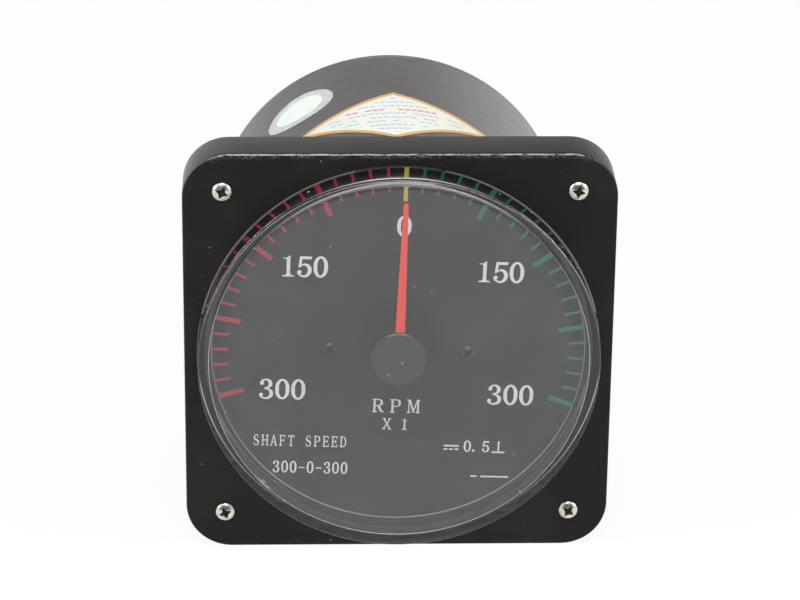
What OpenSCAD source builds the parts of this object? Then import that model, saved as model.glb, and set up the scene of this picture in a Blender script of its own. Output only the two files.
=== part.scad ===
// Panel-mounted shaft speed indicator with a centre-zero scale.
// Millimetres. The origin is on the axis, in the plane where the frame meets the panel.
// X is to the right seen from the front, Z is up, and the dial faces -Y.

/* [Front frame] */
// Width and height of the square front frame
frame_w = 120; // [114:1:140]
// Depth of the frame, from its front face to the panel
frame_depth = 13.5; // [12.5:0.5:18]
// Radius of the frame's corners, seen from the front
frame_corner_r = 13; // [10:0.5:15]
// Thickness of the frame's front wall
frame_wall = 2.5; // [2:0.25:3]
// Thickness of the frame's skirt
skirt_t = 2.4; // [2:0.1:3.2]
// Bevel along the frame's front edge
frame_bevel = 0.7; // [0.4:0.1:1.5]
// Distance from the frame's edge to a corner screw
screw_inset = 11; // [10:0.25:12]
// Radius of the corner bosses inside the frame
boss_r = 4.5; // [3.5:0.25:5]
// Radius of the side bosses that the case is screwed to
side_boss_r = 3; // [2.5:0.25:3.25]

/* [Window] */
// How far the window stands in front of the frame
window_proud = 7.8; // [7:0.1:9]
// Thickness of the window's front
window_front_t = 1.5; // [1.2:0.1:2]
// Thickness of the window's wall
window_wall = 3; // [2:0.1:3.5]
// How far the window's lip reaches past its wall
window_lip = 1.2; // [0.8:0.1:2]
// Thickness of the window's lip
window_lip_t = 2.4; // [1.6:0.1:3]
// Rounding of the window's front edge
window_edge_r = 0.7; // [0.4:0.1:1]

/* [Dial] */
// Thickness of the dial plate
dial_t = 1; // [0.6:0.1:1.5]
// How far the dial's face stands inside the window, in front of the window's foot
dial_rise = 1.8; // [1.6:0.1:2.4]
// How far the dial and movement sit turned in the case, clockwise seen from the front
dial_turn = 1.9; // [-3:0.1:3]
// Angle from zero to the last mark on either side
scale_sweep = 107.2; // [90:0.1:112]
// Number of spaces between the marks on either side
scale_spaces = 20; // [10:1:40]
// A long mark stands at every so many spaces
long_every = 5; // [2:1:10]
// Length of a long mark
long_len = 7.5; // [5:0.1:10]
// Length of a short mark
short_len = 4.8; // [2:0.1:5]
// Width of a long mark
long_w = 1.4; // [0.6:0.1:2]
// Width of a short mark
short_w = 0.75; // [0.4:0.05:1.2]
// Width of the zero mark
zero_w = 1.2; // [0.6:0.1:2]
// Thickness of the printed marks
mark_t = 0.08; // [0.05:0.01:0.2]
// Distance from the axis to each dial screw
dial_screw_x = 19.4; // [17.5:0.1:22]

/* [Pointer] */
// Width of the pointer at the hub
pointer_base_w = 3; // [2:0.1:4]
// Width of the pointer at its tip
pointer_tip_w = 1.3; // [0.6:0.1:2]
// Thickness of the pointer
pointer_t = 0.4; // [0.3:0.05:0.8]
// Gap between the dial and the pointer
pointer_lift = 4.9; // [3.5:0.1:5.2]
// How far the pointer's tip covers the long marks
pointer_overlap = 1.2; // [0:0.1:3]
// Radius of the cap over the hub
cap_r = 8; // [6:0.1:12]
// Thickness of the cap's wall
cap_wall = 0.5; // [0.4:0.1:0.8]

/* [Case] */
// Depth of the case behind the panel
case_depth = 90.5; // [84:0.5:120]
// How much smaller the can is than the window, in radius
can_step = 3.6; // [3.2:0.1:5]
// Thickness of the can's wall
can_wall = 1.5; // [1:0.1:2]
// Thickness of the case flange
flange_t = 3.5; // [3:0.1:4]
// Thickness of the collar that carries the can
collar_t = 3; // [2.5:0.1:4]
// How far the collar reaches behind the panel
collar_depth = 8; // [6:0.5:12]
// Thickness of the panel gasket
gasket_t = 2; // [1.8:0.1:2.4]
// Thickness of the rear cover's rim, and depth of its spigot
cover_t = 2.5; // [2:0.1:4]
// Rounding of the rear cover's edge
cover_edge_r = 1.2; // [0.6:0.1:1.8]

/* [Screws] */
// Shank radius of the corner screws
stud_r = 1.5; // [1.25:0.25:2]
// How far the corner screws stand out behind the frame
stud_out = 12; // [8:1:20]
// How much thinner the corner screws are inside the frame, in radius, so that they stay captive
stud_waist = 0.3; // [0.2:0.05:0.5]
// Head radius of the corner screws
head_r = 2.75; // [2.5:0.05:3.25]
// Height of the corner screws' heads
head_h = 1.5; // [1:0.1:2]
// Shank radius of the small screws
small_r = 1.25; // [1:0.05:1.35]
// Head radius of the small screws
small_head_r = 2.3; // [2:0.1:2.5]
// Height of the small screws' heads
small_head_h = 1.4; // [1:0.1:1.6]

/* [Movement] */
// Thickness of the movement plate
plate_t = 2; // [1.5:0.1:3]
// Radius of the spindle
spindle_r = 1; // [0.8:0.05:1.2]
// Radial play of the spindle in its bearings
running_fit = 0.05; // [0.02:0.01:0.08]
// Inner radius of the core ring
core_in_r = 6.2; // [6:0.1:7]
// Width of the core ring, from its inner to its outer radius
core_w = 6.6; // [5:0.1:8]
// Length of the core ring along the axis
core_len = 11.6; // [9:0.1:14]
// Distance from the movement plate to the magnet system
pole_standoff = 7.2; // [6.6:0.1:9]
// Air gap between the core ring and the coil
air_gap = 0.6; // [0.5:0.05:1]
// Gap between the coil and the outer pole
pole_gap = 0.7; // [0.5:0.05:1.2]
// Thickness of the outer pole
pole_t = 5.3; // [4.5:0.1:7]
// Width of the coil around the core ring
coil_w = 6; // [5:0.1:6.2]
// Thickness of the coil former
former_t = 0.6; // [0.4:0.05:0.8]
// Depth of the winding on the former
winding_t = 0.6; // [0.4:0.05:0.8]
// Width of the core's foot between the magnets
foot_w = 10; // [8:0.5:12]
// Width of each magnet
magnet_w = 7; // [5:0.5:8]
// Height of the magnet system above the axis
magnet_top = 24; // [22:0.5:27]
// Number of turns in each hairspring
spring_turns = 4; // [3:1:5]
// Thickness of the hairspring strip
spring_strip = 0.15; // [0.1:0.01:0.2]
// Outer radius of the hairsprings
spring_r = 7.6; // [6:0.1:9]
// Thickness of the rear bridge
bridge_t = 2.5; // [2:0.1:4]
// Length of the counterweight on the pointer's side of the spindle
balance_len = 6.6; // [4:0.1:7.5]

/* [Electronics] */
// Distance from the movement plate to the circuit board
board_standoff = 44; // [38:1:50]
// Thickness of the circuit board
board_t = 1.6; // [1:0.1:2.4]
// Gap between the circuit board and the can
board_gap = 4; // [2:0.5:6]
// Distance from the board's edge to the middle of the long pillars
pillar_inset = 6; // [4.5:0.5:8]
// Distance across the flats of the long pillars
pillar_flats = 6; // [5:0.5:7]
// Radius of the capacitors
capacitor_r = 4; // [3:0.5:5]
// Height of the capacitors
capacitor_h = 11; // [7:1:16]
// Height of the board connector
connector_h = 8; // [6:0.5:10]
// Radius of the supply wires
wire_r = 0.8; // [0.5:0.05:1]

/* [Terminals] */
// Radius of the terminal studs
terminal_r = 2; // [1.5:0.25:2.5]
// Depth of the terminal studs' thread
terminal_thread = 0.25; // [0.2:0.05:0.35]
// Spacing of the terminal studs from side to side
terminal_dx = 24; // [20:1:28]
// Spacing of the terminal studs from top to bottom
terminal_dz = 18; // [16:1:24]
// How far the terminal studs stand out behind the case
terminal_out = 16; // [12:1:20]
// Thickness of the terminal plate
terminal_plate_t = 4; // [3:0.5:6]

/* [Labels] */
// Thickness of the label and the sticker
label_t = 0.12; // [0.08:0.01:0.3]
// Distance from the panel to the middle of the rating label
label_y = 37.5; // [33:0.5:45]
// Length of the rating label along the case
label_len = 37; // [30:1:44]
// Width of the rating label across the case
label_w = 57; // [50:1:64]
// Radius of the round sticker
sticker_r = 11.1; // [8:0.1:13]
// Distance from the panel to the middle of the round sticker
sticker_y = 62.5; // [60:0.5:70]
// Angle of the round sticker from the top of the case, towards the left
sticker_angle = 31.5; // [25:0.5:40]

/* [Hidden] */

$fn = 64;

// Clearances
slip = 0.1;         // between pieces that slide over each other when assembled
loose = 0.3;        // between pieces that must not touch, and round a screw's shank
past = 1;           // how far a cutter reaches past the face that it opens

// Front frame and window
half_w = frame_w / 2;
cavity_half = half_w - skirt_t;
cavity_corner_r = frame_corner_r - skirt_t;
lip_r = cavity_half - loose;
window_r = lip_r - window_lip;
window_in_r = window_r - window_wall;
front_y = -frame_depth;
frame_wall_y = front_y + frame_wall;
window_y = front_y - window_proud;
window_inner_y = window_y + window_front_t;
window_foot_y = frame_wall_y + window_lip_t;
frame_opening_r = window_r + loose;
screw_at = half_w - screw_inset;
side_boss_gap = 1.6;
side_boss_x = cavity_half - side_boss_r - side_boss_gap;
side_boss_z = sqrt(pow(lip_r + 2 * side_boss_r, 2) - pow(side_boss_x, 2));

// Case
flange_back_y = -gasket_t;
flange_y = flange_back_y - flange_t;
flange_half = cavity_half - 0.4;
flange_corner_r = cavity_corner_r - 0.4;
can_r = window_r - can_step;
can_in_r = can_r - can_wall;
collar_r = can_in_r - slip;
collar_in_r = collar_r - collar_t;
can_end_y = case_depth - cover_t;
cover_inner_y = can_end_y - cover_t;
gasket_opening_r = can_r + 0.7;

// Dial and pointer
hub_r = spindle_r + 2;
dial_y = window_foot_y - dial_rise;
dial_back_y = dial_y + dial_t;
dial_r = window_in_r - loose;
seal_in_r = window_in_r + 1;
seal_out_r = lip_r - slip;
dial_hole_r = hub_r - 0.5;
mark_out_r = dial_r - slip;
long_in_r = mark_out_r - long_len;
pointer_back_y = dial_y - pointer_lift;
pointer_y = pointer_back_y - pointer_t;
pointer_tip_r = long_in_r + pointer_overlap;
hub_neck_r = spindle_r + 0.8;
hub_back_y = dial_y - 1.2;
cap_rim_y = pointer_y - loose;
cap_inner_y = cap_rim_y - 0.5;
cap_y = cap_inner_y - cap_wall;
spindle_y = cap_inner_y + 1;

// Movement plate and what it carries in front
plate_y = collar_depth;
plate_back_y = plate_y + plate_t;
plate_r = can_in_r - slip;
lug_r = 3.6;
lug_at = collar_in_r - lug_r + 0.8;
lug_depth = 10;
dial_pillar_flats = 5;

// Magnet system, from the axis outwards
core_r = core_in_r + core_w;
core_y = plate_back_y + pole_standoff;
core_back_y = core_y + core_len;
end_gap = 0.9;
former_in_z = sqrt(pow(core_in_r - air_gap, 2) - pow(coil_w / 2, 2));
former_out_z = core_r + air_gap;
winding_in_z = former_in_z - former_t - winding_t;
winding_out_z = former_out_z + former_t + winding_t;
coil_sweep_r = sqrt(pow(winding_out_z, 2) + pow(coil_w / 2, 2));
pole_in_r = coil_sweep_r + pole_gap;
pole_r = pole_in_r + pole_t;
pole_mid_r = (pole_in_r + pole_r) / 2;
magnet_bottom = pole_in_r + 0.3;
cheek_x = foot_w / 2 + magnet_w;
cheek_w = 5.5;
former_y = core_y - end_gap;
former_back_y = core_back_y + end_gap;
winding_y = former_y - former_t - winding_t;
winding_back_y = former_back_y + former_t + winding_t;
arm_t = 0.6;
arm_reach = 3;
former_flange_w = 0.8;
arm_y = winding_y - arm_t;
arm_back_y = winding_back_y + arm_t;

// Hairsprings, bearings and bridge
spring_w = 0.8;
spring_off = 1.4;
collet_r = spindle_r + 1;
spring_in_r = collet_r + loose;
front_spring_y = plate_back_y + spring_off;
bridge_y = arm_back_y + 3.9;
bridge_back_y = bridge_y + bridge_t;
rear_spring_y = bridge_y - spring_off - spring_w;
post_r = 0.6;
bearing_r = 3;
bearing_bore_r = spindle_r + running_fit;
bearing_nut_flats = 9;
bearing_nut_t = 2.2;
bearing_out = 0.8;
bearing_back_y = bridge_back_y + bearing_nut_t + loose;
spindle_back_y = bearing_back_y - 1.6;
bridge_half = pole_r + 7.5;
bridge_w = 20;
bridge_post_x = bridge_half - 4;
spacer_r = small_head_r + 0.2;
stop_r = 0.9;
stop_at = (core_r + pole_in_r) / 2;
stop_limit = 110;
coil_half_angle = asin(coil_w / 2 / former_out_z);
stop_angle = stop_limit + coil_half_angle + asin((stop_r + loose) / stop_at);

// Balance arms and counterweights
balance_y = (dial_back_y + plate_y) / 2;
balance_collar_r = spindle_r + 1.5;
balance_collar_t = 4;
arm_r = 0.6;
balance_reach = 14.5;
trim_reach = 9;
main_weight_r = 2.7;
trim_weight_r = 1.6;
trim_weight_len = 2.5;

// Electronics and terminals
board_y = plate_back_y + board_standoff;
board_back_y = board_y + board_t;
board_r = can_in_r - board_gap;
pillar_ring_r = board_r - pillar_inset;
connector_z = 8;
connector_w = 8;
wire_pitch = 5;
capacitor_z = 24;
capacitor_pitch = 14;
processor = [-12, -10, 14, 14, 1.6];    // each chip: x, z, width, height, thickness
receiver = [12, -8, 10, 8, 2];
driver = [12, -22, 18, 7, 3.2];
terminal_foot_y = case_depth + terminal_plate_t;
terminal_head_r = terminal_r + 1.5;
terminal_head_t = 1.6;
terminal_margin = 8;
bush_r = terminal_r + 1.8;
washer_r = terminal_r + 2.3;
washer_t = 0.8;
nut_t = 3.2;
terminal_root_r = terminal_r - terminal_thread;
terminal_nut_y = terminal_foot_y + washer_t + nut_t;
terminal_flats = 3.5 * terminal_r;

// Screw fits
waist_r = stud_r - stud_waist;
boss_hole_r = stud_r + slip;
small_hole_r = small_r + loose;
small_thread_r = small_r + 0.05;
grip = 5;           // how far a small screw reaches into what holds it

// A flat outline seen from the front, made solid from front to back along Y
module slab(front, back) {
    translate([0, back, 0])
        rotate([90, 0, 0])
            linear_extrude(back - front) children();
}

// A body of revolution about Y from points of [radius, y]
module turned(points) {
    rotate([-90, 0, 0])
        rotate_extrude($fn = 128) polygon(points);
}

// A round bar along Y
module bar(r, front, back, sides = 64) {
    translate([0, front, 0])
        rotate([-90, 0, 0])
            cylinder(r = r, h = back - front, $fn = sides);
}

// A tube along Y
module tube(r, bore_r, front, back) {
    difference() {
        bar(r, front, back);
        bar(bore_r, front - past, back + past);
    }
}

// A place in the plane of the dial
module at(x, z) {
    translate([x, 0, z]) children();
}

// Everything that is fixed to the movement sits turned in the case
module in_movement() {
    rotate([0, dial_turn, 0]) children();
}

// Four copies, a quarter turn apart
module four() {
    for (turn = [0 : 90 : 270]) rotate([0, turn, 0]) children();
}

// The outline of a square with round corners
module round_square(half, r) {
    square([2 * half, 2 * (half - r)], center = true);
    square([2 * (half - r), 2 * half], center = true);
    for (x = [-1, 1], z = [-1, 1]) translate([x * (half - r), z * (half - r)]) circle(r);
}

// A square block with round corners and a bevel round its front edge
module bevelled_block(half, r, front, back, bevel) {
    side = [
        [-half + bevel, front], [half - bevel, front], [half, front + bevel],
        [half, back], [-half, back], [-half, front + bevel]
    ];
    linear_extrude(2 * (half - r), center = true) polygon(side);
    rotate([0, 90, 0]) linear_extrude(2 * (half - r), center = true) polygon(side);
    for (x = [-1, 1], z = [-1, 1])
        at(x * (half - r), z * (half - r))
            turned([[0, front], [r - bevel, front], [r, front + bevel], [r, back], [0, back]]);
}

// A screw whose head sits on the plane y = seat, with side -1 for a head towards the front
module screw(seat, side, shank_r, reach, top_r, top_h, turn = 0) {
    dome = 0.5 * top_h;
    dome_r = (pow(top_r, 2) + pow(dome, 2)) / (2 * dome);
    slot_w = 0.28 * top_r;
    translate([0, seat, 0]) rotate([-90 * side, 0, 0]) {
        difference() {
            intersection() {
                cylinder(r = top_r, h = top_h, $fn = 48);
                translate([0, 0, top_h - dome_r]) sphere(r = dome_r, $fn = 96);
            }
            for (slot = [0, 90])
                rotate([0, 0, turn + slot])
                    translate([-0.62 * top_r, -slot_w / 2, 0.4 * top_h])
                        cube([1.24 * top_r, slot_w, top_h]);
        }
        translate([0, 0, -reach]) cylinder(r = shank_r, h = reach, $fn = 32);
    }
}

// A hexagonal pillar from foot to head, with a stud at its foot and a thread in its head
module pillar(foot, head, flats, stud_len) {
    side = head > foot ? 1 : -1;
    length = abs(head - foot);
    translate([0, foot, 0]) rotate([-90 * side, 0, 0])
        difference() {
            union() {
                cylinder(r = flats / sqrt(3), h = length, $fn = 6);
                translate([0, 0, -stud_len]) cylinder(r = small_r, h = stud_len, $fn = 32);
            }
            translate([0, 0, length - grip - past])
                cylinder(r = small_thread_r, h = grip + 2 * past, $fn = 32);
        }
}

// A hexagonal nut
module hex_nut(flats, bore_r, front, back) {
    difference() {
        bar(flats / sqrt(3), front, back, 6);
        bar(bore_r, front - past, back + past);
    }
}

// A straight round wire between two points
module wire(from, to, r) {
    run = to - from;
    length = norm(run);
    translate(from)
        rotate([0, acos(run[2] / length), atan2(run[1], run[0])])
            cylinder(r = r, h = length, $fn = 24);
}

// Where the corner screws, side bosses, lugs and long pillars stand
module at_corners() {
    for (x = [-1, 1], z = [-1, 1]) at(x * screw_at, z * screw_at) children();
}

module at_side_bosses() {
    four() at(side_boss_x, side_boss_z) children();
}

module at_lugs() {
    in_movement() four() rotate([0, 45, 0]) at(0, lug_at) children();
}

module at_pillars() {
    in_movement() four() at(0, pillar_ring_r) children();
}

module at_dial_pillars() {
    in_movement() for (x = [-1, 1]) at(x * dial_screw_x, 0) children();
}

module at_bridge_posts() {
    in_movement() for (x = [-1, 1]) at(x * bridge_post_x, 0) children();
}

module at_pole_screws() {
    in_movement() for (turn = [60, 180, 300]) rotate([0, turn, 0]) at(0, pole_mid_r) children();
}

module at_terminals() {
    for (x = [-1, 1], z = [-1, 1]) at(x * terminal_dx / 2, z * terminal_dz / 2) children();
}

// Front frame: a square moulding, hollow behind, with bosses for its screws
module front_frame() {
    color([0.14, 0.14, 0.14])
    difference() {
        union() {
            difference() {
                bevelled_block(half_w, frame_corner_r, front_y, 0, frame_bevel);
                slab(frame_wall_y, past) round_square(cavity_half, cavity_corner_r);
            }
            at_corners() bar(boss_r, frame_wall_y, flange_y);
            at_side_bosses() bar(side_boss_r, frame_wall_y, flange_y);
        }
        bar(frame_opening_r, front_y - past, frame_wall_y + past, 128);
        at_corners() bar(boss_hole_r, front_y - past, past);
        at_side_bosses() bar(small_thread_r, frame_wall_y, past);
    }
}

// Window: a clear moulded cup with a lip behind the frame
module window() {
    round_steps = 4;
    edge = [
        for (i = [0 : round_steps])
            let (a = 90 * i / round_steps)
            [window_r - window_edge_r * (1 - sin(a)), window_y + window_edge_r * (1 - cos(a))]
    ];
    color([0.85, 0.9, 0.92, 0.3])
    turned(concat(
        [[0, window_y]],
        edge,
        [
            [window_r, frame_wall_y], [lip_r, frame_wall_y], [lip_r, window_foot_y],
            [window_in_r, window_foot_y], [window_in_r, window_inner_y], [0, window_inner_y]
        ]
    ));
}

// Window seal: a rubber ring between the window's foot and the case flange
module window_seal() {
    color([0.1, 0.1, 0.1]) tube(seal_out_r, seal_in_r, window_foot_y, flange_y);
}

// Corner screws: they hold the frame to the panel, and stand out behind it
module corner_screws() {
    cross_turns = [10, 35, -20, 25];
    color([0.75, 0.74, 0.7])
    for (i = [0 : 3])
        rotate([0, 90 * i, 0])
            at(screw_at, screw_at)
                {
                    screw(front_y, -1, waist_r, frame_depth + past, head_r, head_h, cross_turns[i]);
                    bar(stud_r, 0, stud_out);
                }
}

// Case flange: a square plate with the collar that the can slides over
module case_flange() {
    color([0.12, 0.12, 0.12])
    difference() {
        union() {
            slab(flange_y, flange_back_y) round_square(flange_half, flange_corner_r);
            bar(collar_r, flange_y, collar_depth, 128);
        }
        difference() {
            bar(collar_in_r, flange_y - past, collar_depth + past, 128);
            at_lugs() bar(lug_r, collar_depth - lug_depth, collar_depth);
        }
        at_corners() bar(stud_r + loose, flange_y - past, flange_back_y + past);
        at_side_bosses() bar(small_hole_r, flange_y - past, flange_back_y + past);
        at_lugs() bar(small_thread_r, collar_depth - grip - past, collar_depth + past);
    }
}

// Flange screws: they hold the case flange to the front frame from behind
module flange_screws() {
    color([0.6, 0.6, 0.6])
    at_side_bosses()
        screw(flange_back_y, 1, small_r, flange_t + grip - past, small_head_r, small_head_h);
}

// Panel gasket: it fills the back of the frame, flush with the skirt
module panel_gasket() {
    color([0.08, 0.08, 0.08])
    difference() {
        slab(flange_back_y, 0) round_square(flange_half, flange_corner_r);
        bar(gasket_opening_r, flange_back_y - past, past, 128);
        at_corners() bar(stud_r + loose, flange_back_y - past, past);
        at_side_bosses() bar(small_head_r + loose, flange_back_y - past, past);
    }
}

// Can: the drawn tube of the case
module case_can() {
    color([0.2, 0.2, 0.2])
    difference() {
        bar(can_r, flange_back_y, can_end_y, 128);
        bar(can_in_r, flange_back_y - past, can_end_y + past, 128);
    }
}

// Rear cover: it closes the can, with a spigot inside it and a rounded rim
module rear_cover() {
    round_steps = 4;
    edge = [
        for (i = [0 : round_steps])
            let (a = 90 * i / round_steps)
            [can_r - cover_edge_r * (1 - cos(a)), case_depth - cover_edge_r * (1 - sin(a))]
    ];
    color([0.16, 0.16, 0.16])
    difference() {
        turned(concat(
            [[0, cover_inner_y], [collar_r, cover_inner_y], [collar_r, can_end_y], [can_r, can_end_y]],
            edge,
            [[0, case_depth]]
        ));
        at_pillars() bar(small_hole_r, cover_inner_y - past, case_depth + past);
        at_terminals() bar(bush_r + slip, cover_inner_y - past, case_depth + past);
    }
}

// Cover screws: they hold the rear cover to the long pillars
module cover_screws() {
    color([0.6, 0.6, 0.6])
    at_pillars()
        screw(case_depth, 1, small_r, 2 * cover_t + grip, small_head_r, small_head_h, 30);
}

// Rating label: a lozenge wrapped over the top of the can
module rating_label() {
    outline = [
        [-label_w / 2, label_y], [0, label_y - label_len / 2],
        [label_w / 2, label_y], [0, label_y + label_len / 2]
    ];
    color([0.9, 0.85, 0.75])
    intersection() {
        tube(can_r + label_t, can_r, flange_back_y, can_end_y);
        linear_extrude(can_r + past) polygon(outline);
    }
}

// Round sticker: on the upper left of the can
module round_sticker() {
    color([0.85, 0.87, 0.85])
    intersection() {
        tube(can_r + label_t, can_r, flange_back_y, can_end_y);
        rotate([0, -sticker_angle, 0])
            translate([0, sticker_y, 0]) cylinder(r = sticker_r, h = can_r + past);
    }
}

// Dial plate: a thin disc, held by two screws
module dial_plate() {
    color([0.16, 0.16, 0.16])
    difference() {
        bar(dial_r, dial_y, dial_back_y, 128);
        bar(dial_hole_r, dial_y - past, dial_back_y + past);
        at_dial_pillars() bar(small_hole_r, dial_y - past, dial_back_y + past);
    }
}

// One printed mark on the dial, from its inner end out to the edge of the scale
module mark(angle, length, width) {
    in_movement() rotate([0, angle, 0])
        slab(dial_y - mark_t, dial_y)
            translate([-width / 2, mark_out_r - length]) square([width, length]);
}

// The marks on one side of zero
module side_marks(side) {
    for (i = [1 : scale_spaces]) {
        is_long = i % long_every == 0;
        mark(
            side * i * scale_sweep / scale_spaces,
            is_long ? long_len : short_len,
            is_long ? long_w : short_w
        );
    }
}

module left_marks() {
    color([0.75, 0.2, 0.25]) side_marks(-1);
}

module right_marks() {
    color([0.2, 0.5, 0.42]) side_marks(1);
}

module zero_mark() {
    color([0.8, 0.72, 0.3]) mark(0, long_len, zero_w);
}

// Dial screws
module dial_screws() {
    color([0.1, 0.1, 0.1])
    at_dial_pillars()
        screw(dial_y, -1, small_r, dial_t + grip, small_head_r, small_head_h, 20);
}

// Dial pillars: they carry the dial on the movement plate
module dial_pillars() {
    color([0.7, 0.6, 0.35])
    at_dial_pillars() pillar(plate_y, dial_back_y, dial_pillar_flats, plate_t);
}

// Pointer: a flat tapered blade on a ring, with a short tail
module pointer() {
    tip = pointer_tip_w / 2;
    base = pointer_base_w / 2;
    color([0.85, 0.2, 0.15])
    in_movement() slab(pointer_y, pointer_back_y)
        difference() {
            union() {
                polygon([[-base, 0], [base, 0], [tip, pointer_tip_r - tip], [-tip, pointer_tip_r - tip]]);
                translate([0, pointer_tip_r - tip]) circle(tip, $fn = 32);
                circle(hub_r);
                translate([-base, -cap_r + 2 * cap_wall + loose])
                    square([2 * base, cap_r - 2 * cap_wall - loose]);
            }
            circle(hub_neck_r);
        }
}

// Pointer hub: a brass bush on the spindle, with the pointer and the cap on its neck
module pointer_hub() {
    color([0.75, 0.62, 0.3])
    difference() {
        union() {
            bar(hub_r, pointer_back_y, hub_back_y);
            bar(hub_neck_r, cap_inner_y, pointer_back_y);
        }
        bar(spindle_r, spindle_y, dial_y);
    }
}

// Hub cap: a shallow cup in front of the pointer's hub
module hub_cap() {
    color([0.17, 0.17, 0.17])
    difference() {
        bar(cap_r, cap_y, cap_rim_y);
        bar(cap_r - cap_wall, cap_inner_y, cap_rim_y + past);
    }
}

// Balance arms: behind the dial, opposite the coil and to both sides
module balance_arms() {
    color([0.75, 0.62, 0.3])
    in_movement() difference() {
        union() {
            bar(balance_collar_r, balance_y - balance_collar_t / 2, balance_y + balance_collar_t / 2);
            translate([0, balance_y, 0]) {
                cylinder(r = arm_r, h = balance_reach, $fn = 32);
                for (side = [-1, 1]) rotate([0, 90 * side, 0]) cylinder(r = arm_r, h = trim_reach, $fn = 32);
            }
        }
        bar(spindle_r, balance_y - balance_collar_t, balance_y + balance_collar_t);
    }
}

// Counterweights: threaded on the balance arms
module counterweight(r, end, length) {
    difference() {
        translate([0, 0, end - length]) cylinder(r = r, h = length, $fn = 48);
        cylinder(r = arm_r, h = end + past, $fn = 32);
    }
}

module counterweights() {
    color([0.7, 0.58, 0.28])
    in_movement() translate([0, balance_y, 0]) {
        counterweight(main_weight_r, balance_reach - 0.5, balance_len);
        for (side = [-1, 1])
            rotate([0, 90 * side, 0]) counterweight(trim_weight_r, trim_reach - 0.5, trim_weight_len);
    }
}

// Spindle: it runs in both bearings, and ends inside the pointer hub and the rear bearing
module spindle() {
    color([0.7, 0.7, 0.72]) bar(spindle_r, spindle_y, spindle_back_y);
}

// Coil former: a light frame round the core ring, with an arm to the spindle at each end
module former_outline(low, high, front, back) {
    translate([low, front]) square([high - low, back - front]);
}

module across_coil(width) {
    rotate([0, 90, 0]) linear_extrude(width, center = true) children();
}

module coil_former() {
    color([0.72, 0.73, 0.75])
    in_movement() {
        difference() {
            across_coil(coil_w) former_outline(winding_in_z, winding_out_z, winding_y, winding_back_y);
            across_coil(coil_w + 2 * past)
                former_outline(former_in_z, former_out_z, former_y, former_back_y);
            difference() {
                across_coil(coil_w - 2 * former_flange_w)
                    former_outline(0, winding_out_z + past, winding_y - past, winding_back_y + past);
                across_coil(coil_w)
                    former_outline(
                        former_in_z - former_t, former_out_z + former_t,
                        former_y - former_t, former_back_y + former_t
                    );
            }
        }
        for (end = [[arm_y, winding_y], [winding_back_y, arm_back_y]])
            difference() {
                slab(end[0], end[1])
                    translate([-coil_w / 2, -former_in_z - arm_reach])
                        square([coil_w, former_in_z + 2 * arm_reach]);
                bar(spindle_r, end[0] - past, end[1] + past);
            }
    }
}

// Coil winding: fine wire wound into the former's channel
module coil_winding() {
    color([0.72, 0.42, 0.22])
    in_movement() difference() {
        across_coil(coil_w - 2 * former_flange_w)
            former_outline(winding_in_z, winding_out_z, winding_y, winding_back_y);
        across_coil(coil_w)
            former_outline(
                former_in_z - former_t, former_out_z + former_t,
                former_y - former_t, former_back_y + former_t
            );
    }
}

// Spring collets: they hold the inner ends of the hairsprings
module spring_collets() {
    color([0.75, 0.62, 0.3])
    for (y = [front_spring_y, rear_spring_y]) tube(collet_r, spindle_r, y, y + spring_w);
}

// Hairspring: a flat spiral strip that ends on its post
module hairspring(y, side) {
    steps = 24 * spring_turns;
    function spiral(i, r_add) =
        let (
            angle = side * 360 * spring_turns * i / steps,
            r = spring_in_r + (spring_r - spring_in_r) * i / steps + r_add
        )
        [r * sin(angle), r * cos(angle)];
    color([0.8, 0.65, 0.35])
    in_movement() slab(y, y + spring_w)
        polygon(concat(
            [for (i = [0 : steps]) spiral(i, 0)],
            [for (i = [steps : -1 : 0]) spiral(i, spring_strip)]
        ));
}

module front_hairspring() {
    hairspring(front_spring_y, 1);
}

module rear_hairspring() {
    hairspring(rear_spring_y, -1);
}

// Spring posts: one on the movement plate and one on the rear bridge
module spring_posts() {
    color([0.75, 0.62, 0.3])
    in_movement() at(0, spring_r + spring_strip + post_r) {
        bar(post_r, plate_back_y, front_spring_y + spring_w + loose);
        bar(post_r, rear_spring_y - loose, bridge_y);
    }
}

// End stops: two pins on the movement plate that stop the coil
module end_stops() {
    color([0.65, 0.65, 0.65])
    in_movement() for (side = [-1, 1])
        rotate([0, 180 + side * stop_angle, 0])
            at(0, stop_at) bar(stop_r, plate_back_y, former_back_y);
}

// Movement plate: everything behind the dial hangs on it
module movement_plate() {
    color([0.6, 0.6, 0.62])
    difference() {
        bar(plate_r, plate_y, plate_back_y, 128);
        bar(bearing_r, plate_y - past, plate_back_y + past);
        at_lugs() bar(small_hole_r, plate_y - past, plate_back_y + past);
        at_pillars() bar(small_r + slip, plate_y - past, plate_back_y + past);
        at_bridge_posts() bar(small_r + slip, plate_y - past, plate_back_y + past);
        at_dial_pillars() bar(small_r + slip, plate_y - past, plate_back_y + past);
        at_pole_screws() bar(small_thread_r, plate_y - past, plate_back_y + past);
    }
}

// Plate screws: they hold the movement plate to the lugs in the collar
module plate_screws() {
    color([0.6, 0.6, 0.6])
    at_lugs() screw(plate_back_y, 1, small_r, plate_t + grip, small_head_r, small_head_h, 15);
}

// Front bearing: a bush with a through hole, so that the spindle can reach the pointer
module front_bearing() {
    color([0.75, 0.62, 0.3])
    tube(bearing_r, bearing_bore_r, plate_y - bearing_nut_t - loose, plate_back_y + bearing_out);
}

// Rear bearing: a bush with a blind hole that takes the end of the spindle
module rear_bearing() {
    color([0.75, 0.62, 0.3])
    difference() {
        bar(bearing_r, bridge_y - bearing_out, bearing_back_y);
        bar(bearing_bore_r, bridge_y - bearing_out - past, spindle_back_y + loose);
    }
}

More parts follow.
